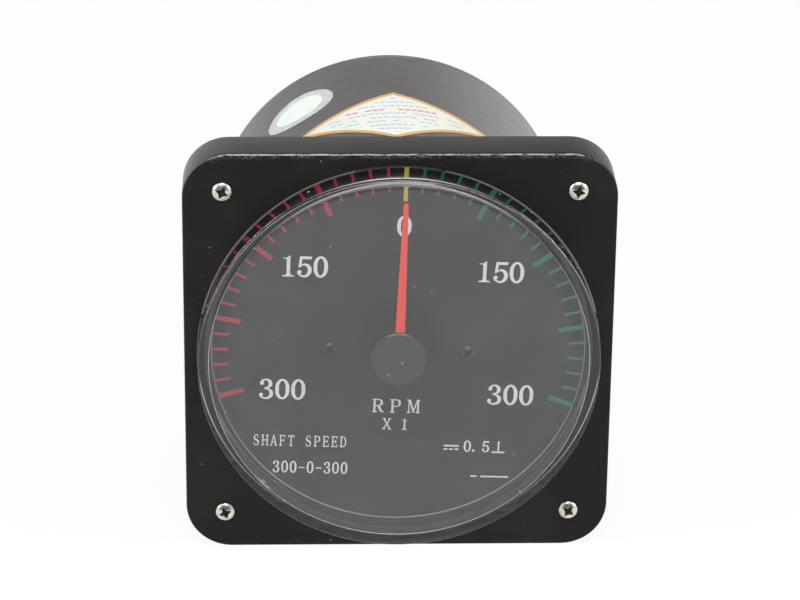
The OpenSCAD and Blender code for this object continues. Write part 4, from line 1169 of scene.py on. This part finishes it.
GLYPHS = {
    "-": [sharp((-0.27, 0.41), (0.27, 0.41), (0.27, 0.5), (-0.27, 0.5))],
    ".": [[(0, 0), (0.11, 0.11), (0, 0.22), (-0.11, 0.11)]],
    "A": [
        sharp((-0.44, 0), (-0.16, 0), (-0.16, 0.06), (-0.25, 0.09), (-0.19, 0.27), (0.15, 0.27),
              (0.21, 0.09), (0.12, 0.06), (0.12, 0), (0.44, 0), (0.44, 0.06), (0.35, 0.09), (0.05, 1.0),
              (-0.04, 1.0), (-0.35, 0.09), (-0.44, 0.06)),
        sharp((-0.165, 0.35), (-0.02, 0.79), (0.125, 0.35)),
    ],
    "D": [
        [(-0.40, 0, CORNER), (-0.02, 0, CORNER), (0.24, 0.12), (0.36, 0.5), (0.24, 0.88),
         (-0.02, 1.0, CORNER), (-0.40, 1.0, CORNER), (-0.40, 0.94, CORNER), (-0.31, 0.91, CORNER),
         (-0.31, 0.09, CORNER), (-0.40, 0.06, CORNER)],
        [(-0.16, 0.08, CORNER), (-0.04, 0.08, CORNER), (0.14, 0.18), (0.21, 0.5), (0.14, 0.82),
         (-0.04, 0.92, CORNER), (-0.16, 0.92, CORNER)],
    ],
    "E": [sharp(
        (-0.38, 0), (0.34, 0), (0.37, 0.26), (0.31, 0.26), (0.23, 0.08), (-0.15, 0.08), (-0.15, 0.46),
        (0.10, 0.46), (0.14, 0.36), (0.20, 0.36), (0.20, 0.66), (0.14, 0.66), (0.10, 0.55), (-0.15, 0.55),
        (-0.15, 0.92), (0.20, 0.92), (0.28, 0.76), (0.34, 0.76), (0.32, 1.0), (-0.38, 1.0), (-0.38, 0.94),
        (-0.29, 0.91), (-0.29, 0.09), (-0.38, 0.06),
    )],
    "F": [sharp(
        (-0.38, 0), (-0.04, 0), (-0.04, 0.06), (-0.15, 0.09), (-0.15, 0.46), (0.10, 0.46), (0.14, 0.36),
        (0.20, 0.36), (0.20, 0.66), (0.14, 0.66), (0.10, 0.55), (-0.15, 0.55), (-0.15, 0.92), (0.20, 0.92),
        (0.28, 0.76), (0.34, 0.76), (0.32, 1.0), (-0.38, 1.0), (-0.38, 0.94), (-0.29, 0.91), (-0.29, 0.09),
        (-0.38, 0.06),
    )],
    "H": [sharp(
        (-0.44, 0), (-0.12, 0), (-0.12, 0.06), (-0.20, 0.09), (-0.20, 0.46), (0.20, 0.46), (0.20, 0.09),
        (0.12, 0.06), (0.12, 0), (0.44, 0), (0.44, 0.06), (0.34, 0.09), (0.34, 0.91), (0.44, 0.94),
        (0.44, 1.0), (0.12, 1.0), (0.12, 0.94), (0.20, 0.91), (0.20, 0.55), (-0.20, 0.55), (-0.20, 0.91),
        (-0.12, 0.94), (-0.12, 1.0), (-0.44, 1.0), (-0.44, 0.94), (-0.34, 0.91), (-0.34, 0.09),
        (-0.44, 0.06),
    )],
    "S": [[
        (0.24, 0.72, CORNER), (0.20, 0.72, CORNER), (0.12, 0.88), (-0.02, 0.94), (-0.15, 0.88),
        (-0.17, 0.76), (-0.10, 0.64), (0.12, 0.55), (0.29, 0.42), (0.31, 0.24), (0.22, 0.06), (0, -0.015),
        (-0.16, 0.03), (-0.24, 0, CORNER), (-0.27, 0, CORNER), (-0.30, 0.30, CORNER), (-0.25, 0.30, CORNER),
        (-0.17, 0.12), (0, 0.055), (0.15, 0.12), (0.18, 0.25), (0.10, 0.36), (-0.12, 0.46), (-0.29, 0.60),
        (-0.30, 0.78), (-0.20, 0.94), (-0.02, 1.015), (0.12, 0.97), (0.19, 1.0, CORNER), (0.22, 1.0, CORNER),
    ]],
    "T": [sharp(
        (-0.18, 0), (0.18, 0), (0.18, 0.06), (0.07, 0.09), (0.07, 0.92), (0.24, 0.92), (0.32, 0.74),
        (0.38, 0.74), (0.36, 1.0), (-0.36, 1.0), (-0.38, 0.74), (-0.32, 0.74), (-0.24, 0.92), (-0.07, 0.92),
        (-0.07, 0.09), (-0.18, 0.06),
    )],
    "X": [sharp(
        (-0.42, 0), (-0.12, 0), (-0.12, 0.06), (-0.21, 0.09), (0, 0.41), (0.19, 0.09), (0.10, 0.06),
        (0.10, 0), (0.44, 0), (0.44, 0.06), (0.35, 0.09), (0.08, 0.51), (0.31, 0.91), (0.40, 0.94),
        (0.40, 1.0), (0.12, 1.0), (0.12, 0.94), (0.19, 0.91), (0.01, 0.60), (-0.17, 0.91), (-0.09, 0.94),
        (-0.09, 1.0), (-0.42, 1.0), (-0.42, 0.94), (-0.34, 0.91), (-0.07, 0.50), (-0.34, 0.09),
        (-0.42, 0.06),
    )],
    "1": [[
        (-0.26, 0, CORNER), (0.26, 0, CORNER), (0.26, 0.06, CORNER), (0.13, 0.08), (0.085, 0.15, CORNER),
        (0.085, 1.0, CORNER), (0.04, 1.01, CORNER), (-0.05, 0.925), (-0.23, 0.905, CORNER),
        (-0.23, 0.86, CORNER), (-0.12, 0.855), (-0.075, 0.80, CORNER), (-0.075, 0.15, CORNER),
        (-0.12, 0.08), (-0.26, 0.06, CORNER),
    ]],
    "3": [[
        (-0.30, 0.76), (-0.24, 0.91), (-0.02, 1.0), (0.20, 0.93), (0.275, 0.76), (0.21, 0.60),
        (0.07, 0.525, CORNER), (0.25, 0.44), (0.325, 0.26), (0.22, 0.06), (-0.02, -0.015), (-0.25, 0.06),
        (-0.33, 0.20), (-0.24, 0.29), (-0.15, 0.22), (-0.17, 0.11), (-0.03, 0.07), (0.10, 0.13),
        (0.15, 0.27), (0.09, 0.42), (-0.10, 0.49, CORNER), (-0.10, 0.555, CORNER), (0.05, 0.61),
        (0.10, 0.76), (0.05, 0.89), (-0.04, 0.925), (-0.13, 0.88), (-0.12, 0.77), (-0.21, 0.69),
    ]],
    "5": [[
        (-0.22, 0.99, CORNER), (0.335, 0.99, CORNER), (0.30, 0.855, CORNER), (-0.105, 0.86, CORNER),
        (-0.15, 0.585, CORNER), (0.03, 0.65), (0.245, 0.553), (0.33, 0.31), (0.22, 0.075), (-0.01, -0.02),
        (-0.245, 0.075), (-0.33, 0.22), (-0.22, 0.33), (-0.128, 0.245), (-0.17, 0.14), (-0.01, 0.075),
        (0.117, 0.18), (0.155, 0.33), (0.096, 0.50), (-0.02, 0.553), (-0.14, 0.51), (-0.22, 0.447, CORNER),
        (-0.277, 0.468, CORNER),
    ]],
    "0": [
        [(0, -0.015), (0.23, 0.12), (0.33, 0.5), (0.23, 0.88), (0, 1.015), (-0.23, 0.88), (-0.33, 0.5),
         (-0.23, 0.12)],
        [(0, 0.085), (-0.115, 0.2), (-0.155, 0.5), (-0.115, 0.8), (0, 0.915), (0.115, 0.8), (0.155, 0.5),
         (0.115, 0.2)],
    ],
    "R": [
        [(-0.42, 0, CORNER), (-0.08, 0, CORNER), (-0.08, 0.06, CORNER), (-0.18, 0.09, CORNER),
         (-0.18, 0.45, CORNER), (-0.05, 0.45, CORNER), (0.16, 0.04, CORNER), (0.42, 0, CORNER),
         (0.44, 0.06, CORNER), (0.30, 0.10, CORNER), (0.12, 0.47, CORNER), (0.30, 0.58), (0.33, 0.76),
         (0.22, 0.94), (-0.02, 1.0, CORNER), (-0.42, 1.0, CORNER), (-0.42, 0.94, CORNER),
         (-0.33, 0.91, CORNER), (-0.33, 0.09, CORNER), (-0.42, 0.06, CORNER)],
        [(-0.18, 0.53, CORNER), (-0.18, 0.92, CORNER), (-0.03, 0.92), (0.12, 0.87), (0.17, 0.73),
         (0.12, 0.57), (-0.03, 0.53, CORNER)],
    ],
    "P": [
        [(-0.40, 0, CORNER), (-0.04, 0, CORNER), (-0.04, 0.06, CORNER), (-0.16, 0.09, CORNER),
         (-0.16, 0.42, CORNER), (0.04, 0.43), (0.29, 0.53), (0.36, 0.72), (0.27, 0.93), (0.02, 1.0, CORNER),
         (-0.40, 1.0, CORNER), (-0.40, 0.94, CORNER), (-0.31, 0.91, CORNER), (-0.31, 0.09, CORNER),
         (-0.40, 0.06, CORNER)],
        [(-0.16, 0.50, CORNER), (-0.16, 0.92, CORNER), (0.0, 0.92), (0.15, 0.87), (0.20, 0.72),
         (0.15, 0.55), (0.0, 0.50, CORNER)],
    ],
    "M": [sharp(
        (-0.46, 0), (-0.20, 0), (-0.20, 0.06), (-0.28, 0.09), (-0.28, 0.80), (-0.03, 0.02), (0.03, 0.02),
        (0.26, 0.80), (0.26, 0.09), (0.16, 0.06), (0.16, 0), (0.48, 0), (0.48, 0.06), (0.40, 0.09),
        (0.40, 0.91), (0.48, 0.94), (0.48, 1.0), (0.24, 1.0), (0.02, 0.30), (-0.20, 1.0), (-0.46, 1.0),
        (-0.46, 0.94), (-0.36, 0.91), (-0.36, 0.09), (-0.46, 0.06),
    )],
}


def glyph_curve(glyph, height, narrow):
    """A flat curve in XY with the outlines of one glyph, in metres."""
    curve = bpy.data.curves.new("figure", "CURVE")
    curve.dimensions, curve.fill_mode, curve.resolution_u = "2D", "BOTH", 6
    for outline in GLYPHS[glyph]:
        spline = curve.splines.new("BEZIER")
        spline.use_cyclic_u = True
        spline.bezier_points.add(len(outline) - 1)
        for point, place in zip(spline.bezier_points, outline):
            point.co = (place[0] * height * narrow * MM, place[1] * height * MM, 0)
            kind = "VECTOR" if CORNER in place else "AUTO"
            point.handle_left_type = point.handle_right_type = kind
    return curve


def lay_on_dial(drawing, name, x, z):
    """Makes a drawing a thin solid of ink, and lays its origin at x, z of the turned dial."""
    apply(drawing, "SOLIDIFY", thickness=INK_T * MM, offset=0)
    edit(drawing)
    close_up()
    leave_edit()
    drawing.name = drawing.data.name = name
    place = turned(DIAL_TURN) @ shift(x, DIAL_Y - INK_T, z) @ turned(math.pi / 2, "X")
    place.translation = place.translation * MM
    drawing.matrix_world = place
    work_on(drawing)
    bake_place()
    finish_piece(drawing, look("figure_white"), slot="mark_yellow", smooth=20)


class INDICATOR_OT_dial_figures(bpy.types.Operator):
    """Print the figures, the unit and the plain rules on the dial"""
    bl_idname = "indicator.dial_figures"
    bl_label = "Dial figures"
    bl_options = {"REGISTER", "UNDO"}

    # Name, text, middle x, foot z, height, distance between characters, narrowing
    texts = [
        ("figures_left_half", "150", -27.2, 21.7, 6.25, 4.5, 0.97),
        ("figures_right_half", "150", 27.5, 21.6, 6.25, 4.5, 0.97),
        ("figures_left_full", "300", -32.25, -15.95, 6.2, 4.5, 0.97),
        ("figures_right_full", "300", 32.3, -15.95, 6.2, 4.5, 0.97),
        ("figure_zero", "0", 0.0, 34.7, 6.1, 4.5, 0.99),
        ("unit", "RPM", 0, -19.3, 4.2, 5.0, 0.95),
        ("factor", "X 1", 0.2, -24.6, 3.5, 2.5, 0.85),
        ("title", "SHAFT SPEED", -26.8, -30.6, 3.4, 2.47, 0.68),
        ("span", "300-0-300", -23.6, -39.0, 3.7, 2.42, 0.78),
        ("class_mark", "0. 5", 23.55, -31.0, 3.5, 1.75, 0.9),
    ]

    # Plain rules, each with its left, right, lower and upper edge: the sign for direct current,
    # the sign for upright mounting, and two blanks
    rules = [
        (14.2, 18.45, -29.5, -29.0), (14.2, 15.3, -30.55, -30.1), (15.75, 16.9, -30.55, -30.1),
        (17.35, 18.45, -30.55, -30.1), (28.0, 31.6, -31.2, -30.75), (29.6, 30.05, -31.0, -27.5),
        (22.3, 24.1, -38.95, -38.5), (25.1, 33.1, -38.95, -38.5),
    ]

    def execute(self, context):
        for name, text, x, z, height, pitch, narrow in self.texts:
            self.write(name, text, x, z, height, pitch, narrow)
        for i, (left, right, low, high) in enumerate(self.rules):
            self.rule(f"dial_rule_{i + 1}", left, right, low, high)
        return {"FINISHED"}

    @staticmethod
    def rule(name, left, right, low, high):
        """Prints one plain rule."""
        leave_edit()
        bpy.ops.mesh.primitive_plane_add(size=MM)
        bar = take(name)
        bpy.ops.mesh.select_all(action="SELECT")
        bpy.ops.transform.resize(value=(right - left, high - low, 1), center_override=(0, 0, 0))
        leave_edit()
        lay_on_dial(bar, name, (left + right) / 2, (low + high) / 2)

    @staticmethod
    def write(name, text, x, z, height, pitch, narrow):
        """Prints one line of text, its middle at x and its foot at z."""
        signs = []
        for i, sign in enumerate(text):
            if sign == " ":
                continue
            drawing = bpy.data.objects.new(name, glyph_curve(sign, height, narrow))
            bpy.context.scene.collection.objects.link(drawing)
            work_on(drawing)
            bpy.ops.object.convert(target="MESH")
            drawing.location.x = (i - (len(text) - 1) / 2) * pitch * MM
            bake_place()
            signs.append(drawing)
        leave_edit()
        for drawing in signs:
            drawing.select_set(True)
        bpy.context.view_layer.objects.active = signs[0]
        if len(signs) > 1:
            bpy.ops.object.join()
        lay_on_dial(signs[0], name, x, z)


class INDICATOR_OT_dial_screws(bpy.types.Operator):
    """Model the two black screws that hold the dial"""
    bl_idname = "indicator.dial_screws"
    bl_label = "Dial screws"
    bl_options = {"REGISTER", "UNDO"}

    def execute(self, context):
        model = pan_screw(
            "dial_screw", "screw_black", head_r=2.3, head_h=1.4, shank_r=1.25, reach=6,
            recess="recess_black",
        )
        for name, side, cross_turn in (("left", -1, 20), ("right", 1, 44)):
            place = turned(DIAL_TURN) @ shift(side * DIAL_SCREW_X, DIAL_Y, 0)
            screw = copy(model, f"dial_screw_{name}", place @ turned(math.radians(cross_turn)))
            finish_piece(screw, slot="screw_black", nodes=("dial_screws",) if side < 0 else ())
        bpy.data.objects.remove(model)
        return {"FINISHED"}


class INDICATOR_OT_pointer(bpy.types.Operator):
    """Model the pointer and the cap over its hub"""
    bl_idname = "indicator.pointer"
    bl_label = "Pointer and cap"
    bl_options = {"REGISTER", "UNDO"}

    def execute(self, context):
        self.blade(context.scene.indicator_pointer)
        self.cap()
        return {"FINISHED"}

    @staticmethod
    def blade(s):
        """The flat blade, widest at its hub, turned as the dial is."""
        front, back = pointer_low.y, pointer_high.y
        tip_z = pointer_high.z / math.cos(DIAL_TURN) - NEAR
        end_z = tip_z - s.tip / 2
        piece = block((-s.base / 2, front, -POINTER_FOOT), (s.base / 2, back, end_z), "pointer_blade")
        edit(piece)
        pick("VERT", lambda c: c.z > 0)
        bpy.ops.transform.resize(value=(s.tip / s.base, 1, 1), center_override=(0, 0, 0))
        leave_edit()
        cut(piece, round_bar(s.tip / 2, front, back, 0, end_z, 32), "UNION")
        cut(piece, round_bar(POINTER_RING_R, front, back, sides=64), "UNION")
        cut(piece, round_bar(POINTER_BORE_R, front - PAST, back + PAST, sides=64))
        soften(piece, 0.06, 2, 50)
        work_on(piece)
        piece.matrix_world = turned(DIAL_TURN)
        bake_place()
        finish_piece(
            piece, look("pointer_red"), body="moving_system", slot="pointer_red", nodes=("pointer",),
        )

    @staticmethod
    def cap():
        """The round cap, hollow behind."""
        radius, wall, edge = cap_high.x, 0.5, 0.4
        front, rim = cap_low.y, cap_high.y
        outline = [[0, front]] + arc(radius - edge, front + edge, edge, -90, 0, 6)
        outline += [[radius, rim], [radius - wall, rim], [radius - wall, front + wall], [0, front + wall]]
        piece = turn("pointer_cap", outline, 96)
        finish_piece(
            piece, look("cap_black"), body="moving_system", slot="cap_black", nodes=("hub_cap",),
        )


class INDICATOR_OT_case(bpy.types.Operator):
    """Model the can, its rear cover and the panel gasket"""
    bl_idname = "indicator.case"
    bl_label = "Case"
    bl_options = {"REGISTER", "UNDO"}

    def execute(self, context):
        s = context.scene.indicator_case
        inner_r, joint = CAN_R - s.wall, 0.25
        can = turn("case_tube", [
            [CAN_R, can_low.y], [CAN_R, can_high.y - joint], [CAN_R - joint, can_high.y],
            [inner_r, can_high.y], [inner_r, can_low.y], [CAN_R, can_low.y],
        ], 256)
        finish_piece(can, look("can_black"), slot="can_black", nodes=("case_can",), smooth=30)

        spigot_r, edge = inner_r - 0.1, 1.2
        outline = [[0, cover_low.y], [spigot_r, cover_low.y], [spigot_r, can_high.y]]
        outline += [[CAN_R - joint, can_high.y], [CAN_R, can_high.y + joint]]
        outline += arc(CAN_R - edge, CASE_END_Y - edge, edge, 0, 90, 6) + [[0, CASE_END_Y]]
        cover = turn("rear_cover_shell", outline, 256)
        finish_piece(cover, look("can_black"), slot="can_black", nodes=("rear_cover",), smooth=30)
        self.gasket(context.scene.indicator_frame)
        return {"FINISHED"}

    @staticmethod
    def gasket(s):
        """The rubber sheet that fits inside the frame's skirt."""
        half, front, back = gasket_high.x, gasket_low.y, gasket_high.y - 0.05
        piece = block((-half, front, -half), (half, back, half), "gasket_sheet")
        edit(piece)
        round_corners(half, s.corner - s.skirt - 0.4)
        leave_edit()
        cut(piece, round_bar(GASKET_OPENING_R, front - PAST, gasket_high.y + PAST, sides=192))
        for x, z in corners(SCREW_AT, SCREW_AT):
            cut(piece, round_bar(GASKET_HOLE_R, front - PAST, gasket_high.y + PAST, x, z, 32))
        edit(piece)
        bpy.ops.mesh.select_all(action="SELECT")
        bpy.ops.mesh.fill_holes(sides=0)
        leave_edit()
        finish_piece(piece, look("black_rubber"), slot="black_rubber", nodes=("panel_gasket",))


class INDICATOR_OT_labels(bpy.types.Operator):
    """Wrap the lozenge label and the round sticker over the can"""
    bl_idname = "indicator.labels"
    bl_label = "Labels"
    bl_options = {"REGISTER", "UNDO"}

    def execute(self, context):
        can = bpy.data.objects["case_tube"]
        self.lozenge(can)
        self.sticker(can, context.scene.indicator_label)
        return {"FINISHED"}

    @staticmethod
    def wrap(piece, can):
        """Drops a flat sheet along its own Z onto the can and gives it its thickness."""
        apply(
            piece, "SHRINKWRAP", target=can, wrap_method="PROJECT", use_project_z=True,
            use_negative_direction=True, use_positive_direction=False, offset=0.01 * MM,
        )
        apply(piece, "SOLIDIFY", thickness=0.1 * MM, offset=1)
        work_on(piece)
        bake_place()

    def lozenge(self, can):
        """The label: a square grid set on its corner and stretched."""
        leave_edit()
        bpy.ops.mesh.primitive_grid_add(
            x_subdivisions=48, y_subdivisions=48, size=MM, rotation=(0, 0, math.pi / 4),
        )
        piece = take("label_sheet")
        bpy.ops.mesh.select_all(action="SELECT")
        length = label_high.y - label_low.y
        bpy.ops.transform.resize(
            value=(2 * label_high.x / math.sqrt(2), length / math.sqrt(2), 1), center_override=(0, 0, 0),
        )
        leave_edit()
        piece.location = (0, (label_low.y + label_high.y) / 2 * MM, (CAN_R + 5) * MM)
        self.wrap(piece, can)
        finish_piece(piece, look("label_card"), slot="label_card", nodes=("rating_label",), smooth=40)

    def sticker(self, can, s):
        """The sticker: a disc of rings, the inner ones of another paper."""
        leave_edit()
        bpy.ops.mesh.primitive_circle_add(vertices=96, radius=s.sticker_r * MM, fill_type="NGON")
        piece = take("round_sticker_disc")
        rings = 9
        bpy.ops.mesh.select_mode(type="FACE")
        bpy.ops.mesh.select_all(action="SELECT")
        for _ in range(rings):
            bpy.ops.mesh.inset(thickness=s.sticker_r / (rings + 1) * MM)
        leave_edit()
        piece.data.materials.append(look("sticker_foil"))
        piece.data.materials.append(look("sticker_middle"))
        edit(piece)
        pick("FACE", lambda c: math.hypot(c.x, c.y) < s.sticker_r * 0.71)
        piece.active_material_index = 1
        bpy.ops.object.material_slot_assign()
        leave_edit()
        lean = turned(STICKER_LEAN)
        out = lean @ Vector((0, 0, CAN_R + 8))
        piece.matrix_world = Matrix.Translation(Vector((out.x, s.sticker_y, out.z)) * MM) @ lean
        self.wrap(piece, can)
        finish_piece(piece, slot="sticker_foil", nodes=("round_sticker",), smooth=40)


class INDICATOR_OT_rear_fittings(bpy.types.Operator):
    """Model the cover screws and the terminals at the back"""
    bl_idname = "indicator.rear_fittings"
    bl_label = "Rear fittings"
    bl_options = {"REGISTER", "UNDO"}

    def execute(self, context):
        self.cover_screws()
        self.terminal_plate()
        self.terminals()
        return {"FINISHED"}

    @staticmethod
    def cover_screws():
        """The four screws of the rear cover."""
        model = pan_screw("cover_screw", "zinc_screw", head_r=2.3, head_h=1.4, shank_r=1.25, reach=9)
        for i in range(4):
            place = turned(DIAL_TURN + math.pi / 2 * i) @ shift(0, CASE_END_Y, PILLAR_RING_R)
            place = place @ turned(math.pi, "Z") @ turned(math.radians(30 + 17 * i))
            screw = copy(model, f"cover_screw_{i + 1}", place)
            finish_piece(screw, slot="zinc_screw", nodes=("cover_screws",) if i == 0 else ())
        bpy.data.objects.remove(model)

    @staticmethod
    def terminal_plate():
        """The block that carries the terminals."""
        half_x, half_z = plate_high.x, plate_high.z
        piece = block((-half_x, CASE_END_Y, -half_z), (half_x, plate_high.y, half_z), "terminal_block")
        soften(piece, 0.8, 4, 40)
        for x, z in corners(TERMINAL_X, TERMINAL_Z):
            cut(piece, round_bar(TERMINAL_HOLE_R, CASE_END_Y - PAST, plate_high.y + PAST, x, z))
        finish_piece(
            piece, look("terminal_black"), slot="terminal_black", nodes=("terminal_plate",), smooth=40,
        )

    @staticmethod
    def washer():
        """A plain washer on the axis, with broken edges."""
        bore, radius, edge = TERMINAL_HOLE_R, 4.3, 0.15
        foot, top = plate_high.y, plate_high.y + 0.8
        return turn("washer", [
            [bore, foot], [radius - edge, foot], [radius, foot + edge], [radius, top - edge],
            [radius - edge, top], [bore, top], [bore, foot],
        ], 64)

    @staticmethod
    def nut():
        """A hexagon nut on the axis, its corners trimmed by a chamfered barrel."""
        front, back, depth = nuts_low.y, nuts_high.y, 0.45
        nut = round_bar(NUT_CORNER_R, front, back, sides=6, name="nut")
        wide, narrow = NUT_CORNER_R + 0.05, NUT_CORNER_R - 0.5
        barrel = turn("barrel", [
            [0, front], [narrow, front], [wide, front + depth], [wide, back - depth], [narrow, back],
            [0, back],
        ], 64)
        cut(nut, barrel, "INTERSECT")
        cut(nut, round_bar(NUT_BORE_R, front - PAST, back + PAST))
        return nut

    def terminals(self):
        """The washer, the nut and the threaded end of each of the four terminals."""
        washer, nut = self.washer(), self.nut()
        rod = threaded_rod(
            "rod", radius=2.0, root_r=1.75, start=nuts_high.y - 0.2, end=studs_high.y, pitch=0.7,
        )
        places = [(x, z) for z in (TERMINAL_Z, -TERMINAL_Z) for x in (-TERMINAL_X, TERMINAL_X)]
        for number, (x, z) in enumerate(places, 1):
            for model, name, finish, node in (
                (washer, "terminal_washer", "zinc_screw", "terminal_washers"),
                (nut, "terminal_nut", "brass", "terminal_nuts"),
                (rod, "terminal_stud", "brass", "terminal_studs"),
            ):
                twin = copy(model, f"{name}_{number}", shift(x, 0, z))
                finish_piece(twin, look(finish), slot=finish, nodes=(node,) if number == 1 else ())
        for model in (washer, nut, rod):
            bpy.data.objects.remove(model)


class INDICATOR_OT_node_finishes(bpy.types.Operator):
    """Paint the CAD nodes that stay as they are"""
    bl_idname = "indicator.node_finishes"
    bl_label = "Finishes"
    bl_options = {"REGISTER", "UNDO"}

    def execute(self, context):
        for name, finish in NODE_LOOKS.items():
            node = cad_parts[name]
            node.data.materials.clear()
            node.data.materials.append(look(finish))
        return {"FINISHED"}


class INDICATOR_OT_stage(bpy.types.Operator):
    """Set up the floor, the sky, the lamps and the camera"""
    bl_idname = "indicator.stage"
    bl_label = "Stage"
    bl_options = {"REGISTER", "UNDO"}

    # Name, place and size in mm, strength in watts
    lamps = [
        ("lamp_top", (0, -400, 900), 450, 6.5),
        ("lamp_left", (-900, -250, 500), 500, 5),
        ("lamp_right", (900, -250, 500), 500, 5),
    ]

    def execute(self, context):
        s = context.scene.indicator_stage
        self.floor()
        self.sky(s.sky)
        for name, place, width, power in self.lamps:
            self.lamp(name, Vector(place), width, power)
        self.camera(s)
        context.scene.view_settings.view_transform = "Standard"
        return {"FINISHED"}

    @staticmethod
    def seen_plainly(wiring):
        """A socket that is 1 for rays from the camera, off gloss and through glass."""
        path = wiring.node("ShaderNodeLightPath")
        total = path.outputs["Is Camera Ray"]
        for ray in ("Is Glossy Ray", "Is Transmission Ray"):
            total = wiring.math("MAXIMUM", total, path.outputs[ray])
        return total

    def floor(self):
        """A wide pale floor that the part rests on."""
        grey, glow_strength, glow_share = 0.55, 1.04, 0.9
        leave_edit()
        bpy.ops.mesh.primitive_grid_add(
            x_subdivisions=8, y_subdivisions=8, size=8, location=(0, 0, frame_low.z * MM),
        )
        floor = take("floor")
        leave_edit()
        material = bpy.data.materials.new("floor_white")
        material.use_nodes = True
        wiring = Wiring(material.node_tree)
        wiring.nodes.clear()
        glow = wiring.node("ShaderNodeEmission")
        glow.inputs["Strength"].default_value = glow_strength
        glowing = wiring.both(self.seen_plainly(wiring), glow_share)
        lit = wiring.mix_shaders(glowing, wiring.matt((grey, grey, grey)), glow.outputs[0])
        wiring.put(wiring.node("ShaderNodeOutputMaterial").inputs["Surface"], lit)
        floor.data.materials.append(material)

    def sky(self, strength):
        """A plain sky, bright where the camera sees it and dim as a light."""
        world = bpy.data.worlds.new("plain_sky")
        bpy.context.scene.world = world
        world.use_nodes = True
        wiring = Wiring(world.node_tree)
        background = wiring.nodes["Background"]
        background.inputs["Color"].default_value = (1, 1, 1, 1)
        level = wiring.between(self.seen_plainly(wiring), strength, 1.0)
        wiring.put(background.inputs["Strength"], wiring.both(level, self.room_in_front(wiring)))

    @staticmethod
    def room_in_front(wiring):
        """Less than 1 for gloss that mirrors the unlit room on the side of the front."""
        way = wiring.node("ShaderNodeSeparateXYZ")
        wiring.put(way.inputs[0], wiring.node("ShaderNodeTexCoord").outputs["Generated"])
        room = wiring.ease(way.outputs["Y"], -0.45, -0.8)
        mirrored = wiring.both(room, wiring.node("ShaderNodeLightPath").outputs["Is Glossy Ray"])
        return wiring.between(mirrored, 1.0, 0.12)

    @staticmethod
    def lamp(name, place, width, power):
        """A square lamp that faces the origin and isn't seen through the window."""
        leave_edit()
        bpy.ops.object.light_add(type="AREA", location=place * MM)
        lamp = bpy.context.object
        lamp.name = name
        lamp.data.size, lamp.data.energy = width * MM, power
        lamp.visible_transmission = False
        lamp.rotation_euler = (-place).to_track_quat("-Z", "Y").to_euler()

    @staticmethod
    def camera(s):
        """The camera, turned by its heading, tilt and roll."""
        leave_edit()
        bpy.ops.object.camera_add()
        camera = bpy.context.object
        level = math.cos(s.tilt)
        ahead = Vector((math.sin(s.heading) * level, math.cos(s.heading) * level, -math.sin(s.tilt)))
        right = ahead.cross(Vector((0, 0, 1))).normalized()
        up = right.cross(ahead)
        rolled = right * math.cos(s.roll) + up * math.sin(s.roll)
        upright = up * math.cos(s.roll) - right * math.sin(s.roll)
        axes = Matrix((rolled, upright, -ahead)).transposed()
        camera.matrix_world = Matrix.Translation(Vector(s.camera) * MM) @ axes.to_4x4()
        camera.data.lens, camera.data.sensor_width = s.lens, 36
        camera.data.clip_start, camera.data.clip_end = 0.01, 100
        bpy.context.scene.camera = camera


class INDICATOR_PT_panel(bpy.types.Panel):
    """The indicator's pieces and settings"""
    bl_idname = "INDICATOR_PT_panel"
    bl_label = "Shaft speed indicator"
    bl_space_type = "VIEW_3D"
    bl_region_type = "UI"
    bl_category = "Indicator"

    def draw(self, context):
        for step in STEPS:
            self.layout.operator(step.bl_idname)
        for name, group in SETTINGS.items():
            box = self.layout.box()
            box.label(text=name)
            for key in group.__annotations__:
                box.prop(getattr(context.scene, name), key)


SETTINGS = {
    "indicator_frame": IndicatorFrameSettings,
    "indicator_window": IndicatorWindowSettings,
    "indicator_dial": IndicatorDialSettings,
    "indicator_pointer": IndicatorPointerSettings,
    "indicator_case": IndicatorCaseSettings,
    "indicator_label": IndicatorLabelSettings,
    "indicator_stage": IndicatorStageSettings,
}

STEPS = (
    INDICATOR_OT_front_frame,
    INDICATOR_OT_window,
    INDICATOR_OT_corner_screws,
    INDICATOR_OT_dial_figures,
    INDICATOR_OT_dial_screws,
    INDICATOR_OT_pointer,
    INDICATOR_OT_case,
    INDICATOR_OT_labels,
    INDICATOR_OT_rear_fittings,
    INDICATOR_OT_node_finishes,
    INDICATOR_OT_stage,
)


def register():
    """Registers the settings, the operators and the panel."""
    for group in SETTINGS.values():
        bpy.utils.register_class(group)
    for step in STEPS:
        bpy.utils.register_class(step)
    bpy.utils.register_class(INDICATOR_PT_panel)
    for name, group in SETTINGS.items():
        setattr(bpy.types.Scene, name, PointerProperty(type=group))


def unregister():
    """Takes back what register does, in the other order."""
    for name in SETTINGS:
        delattr(bpy.types.Scene, name)
    bpy.utils.unregister_class(INDICATOR_PT_panel)
    for step in reversed(STEPS):
        bpy.utils.unregister_class(step)
    for group in SETTINGS.values():
        bpy.utils.unregister_class(group)


def main():
    """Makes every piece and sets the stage."""
    register()
    for step in STEPS:
        module, name = step.bl_idname.split(".")
        getattr(getattr(bpy.ops, module), name)()


if __name__ == "__main__":
    main()
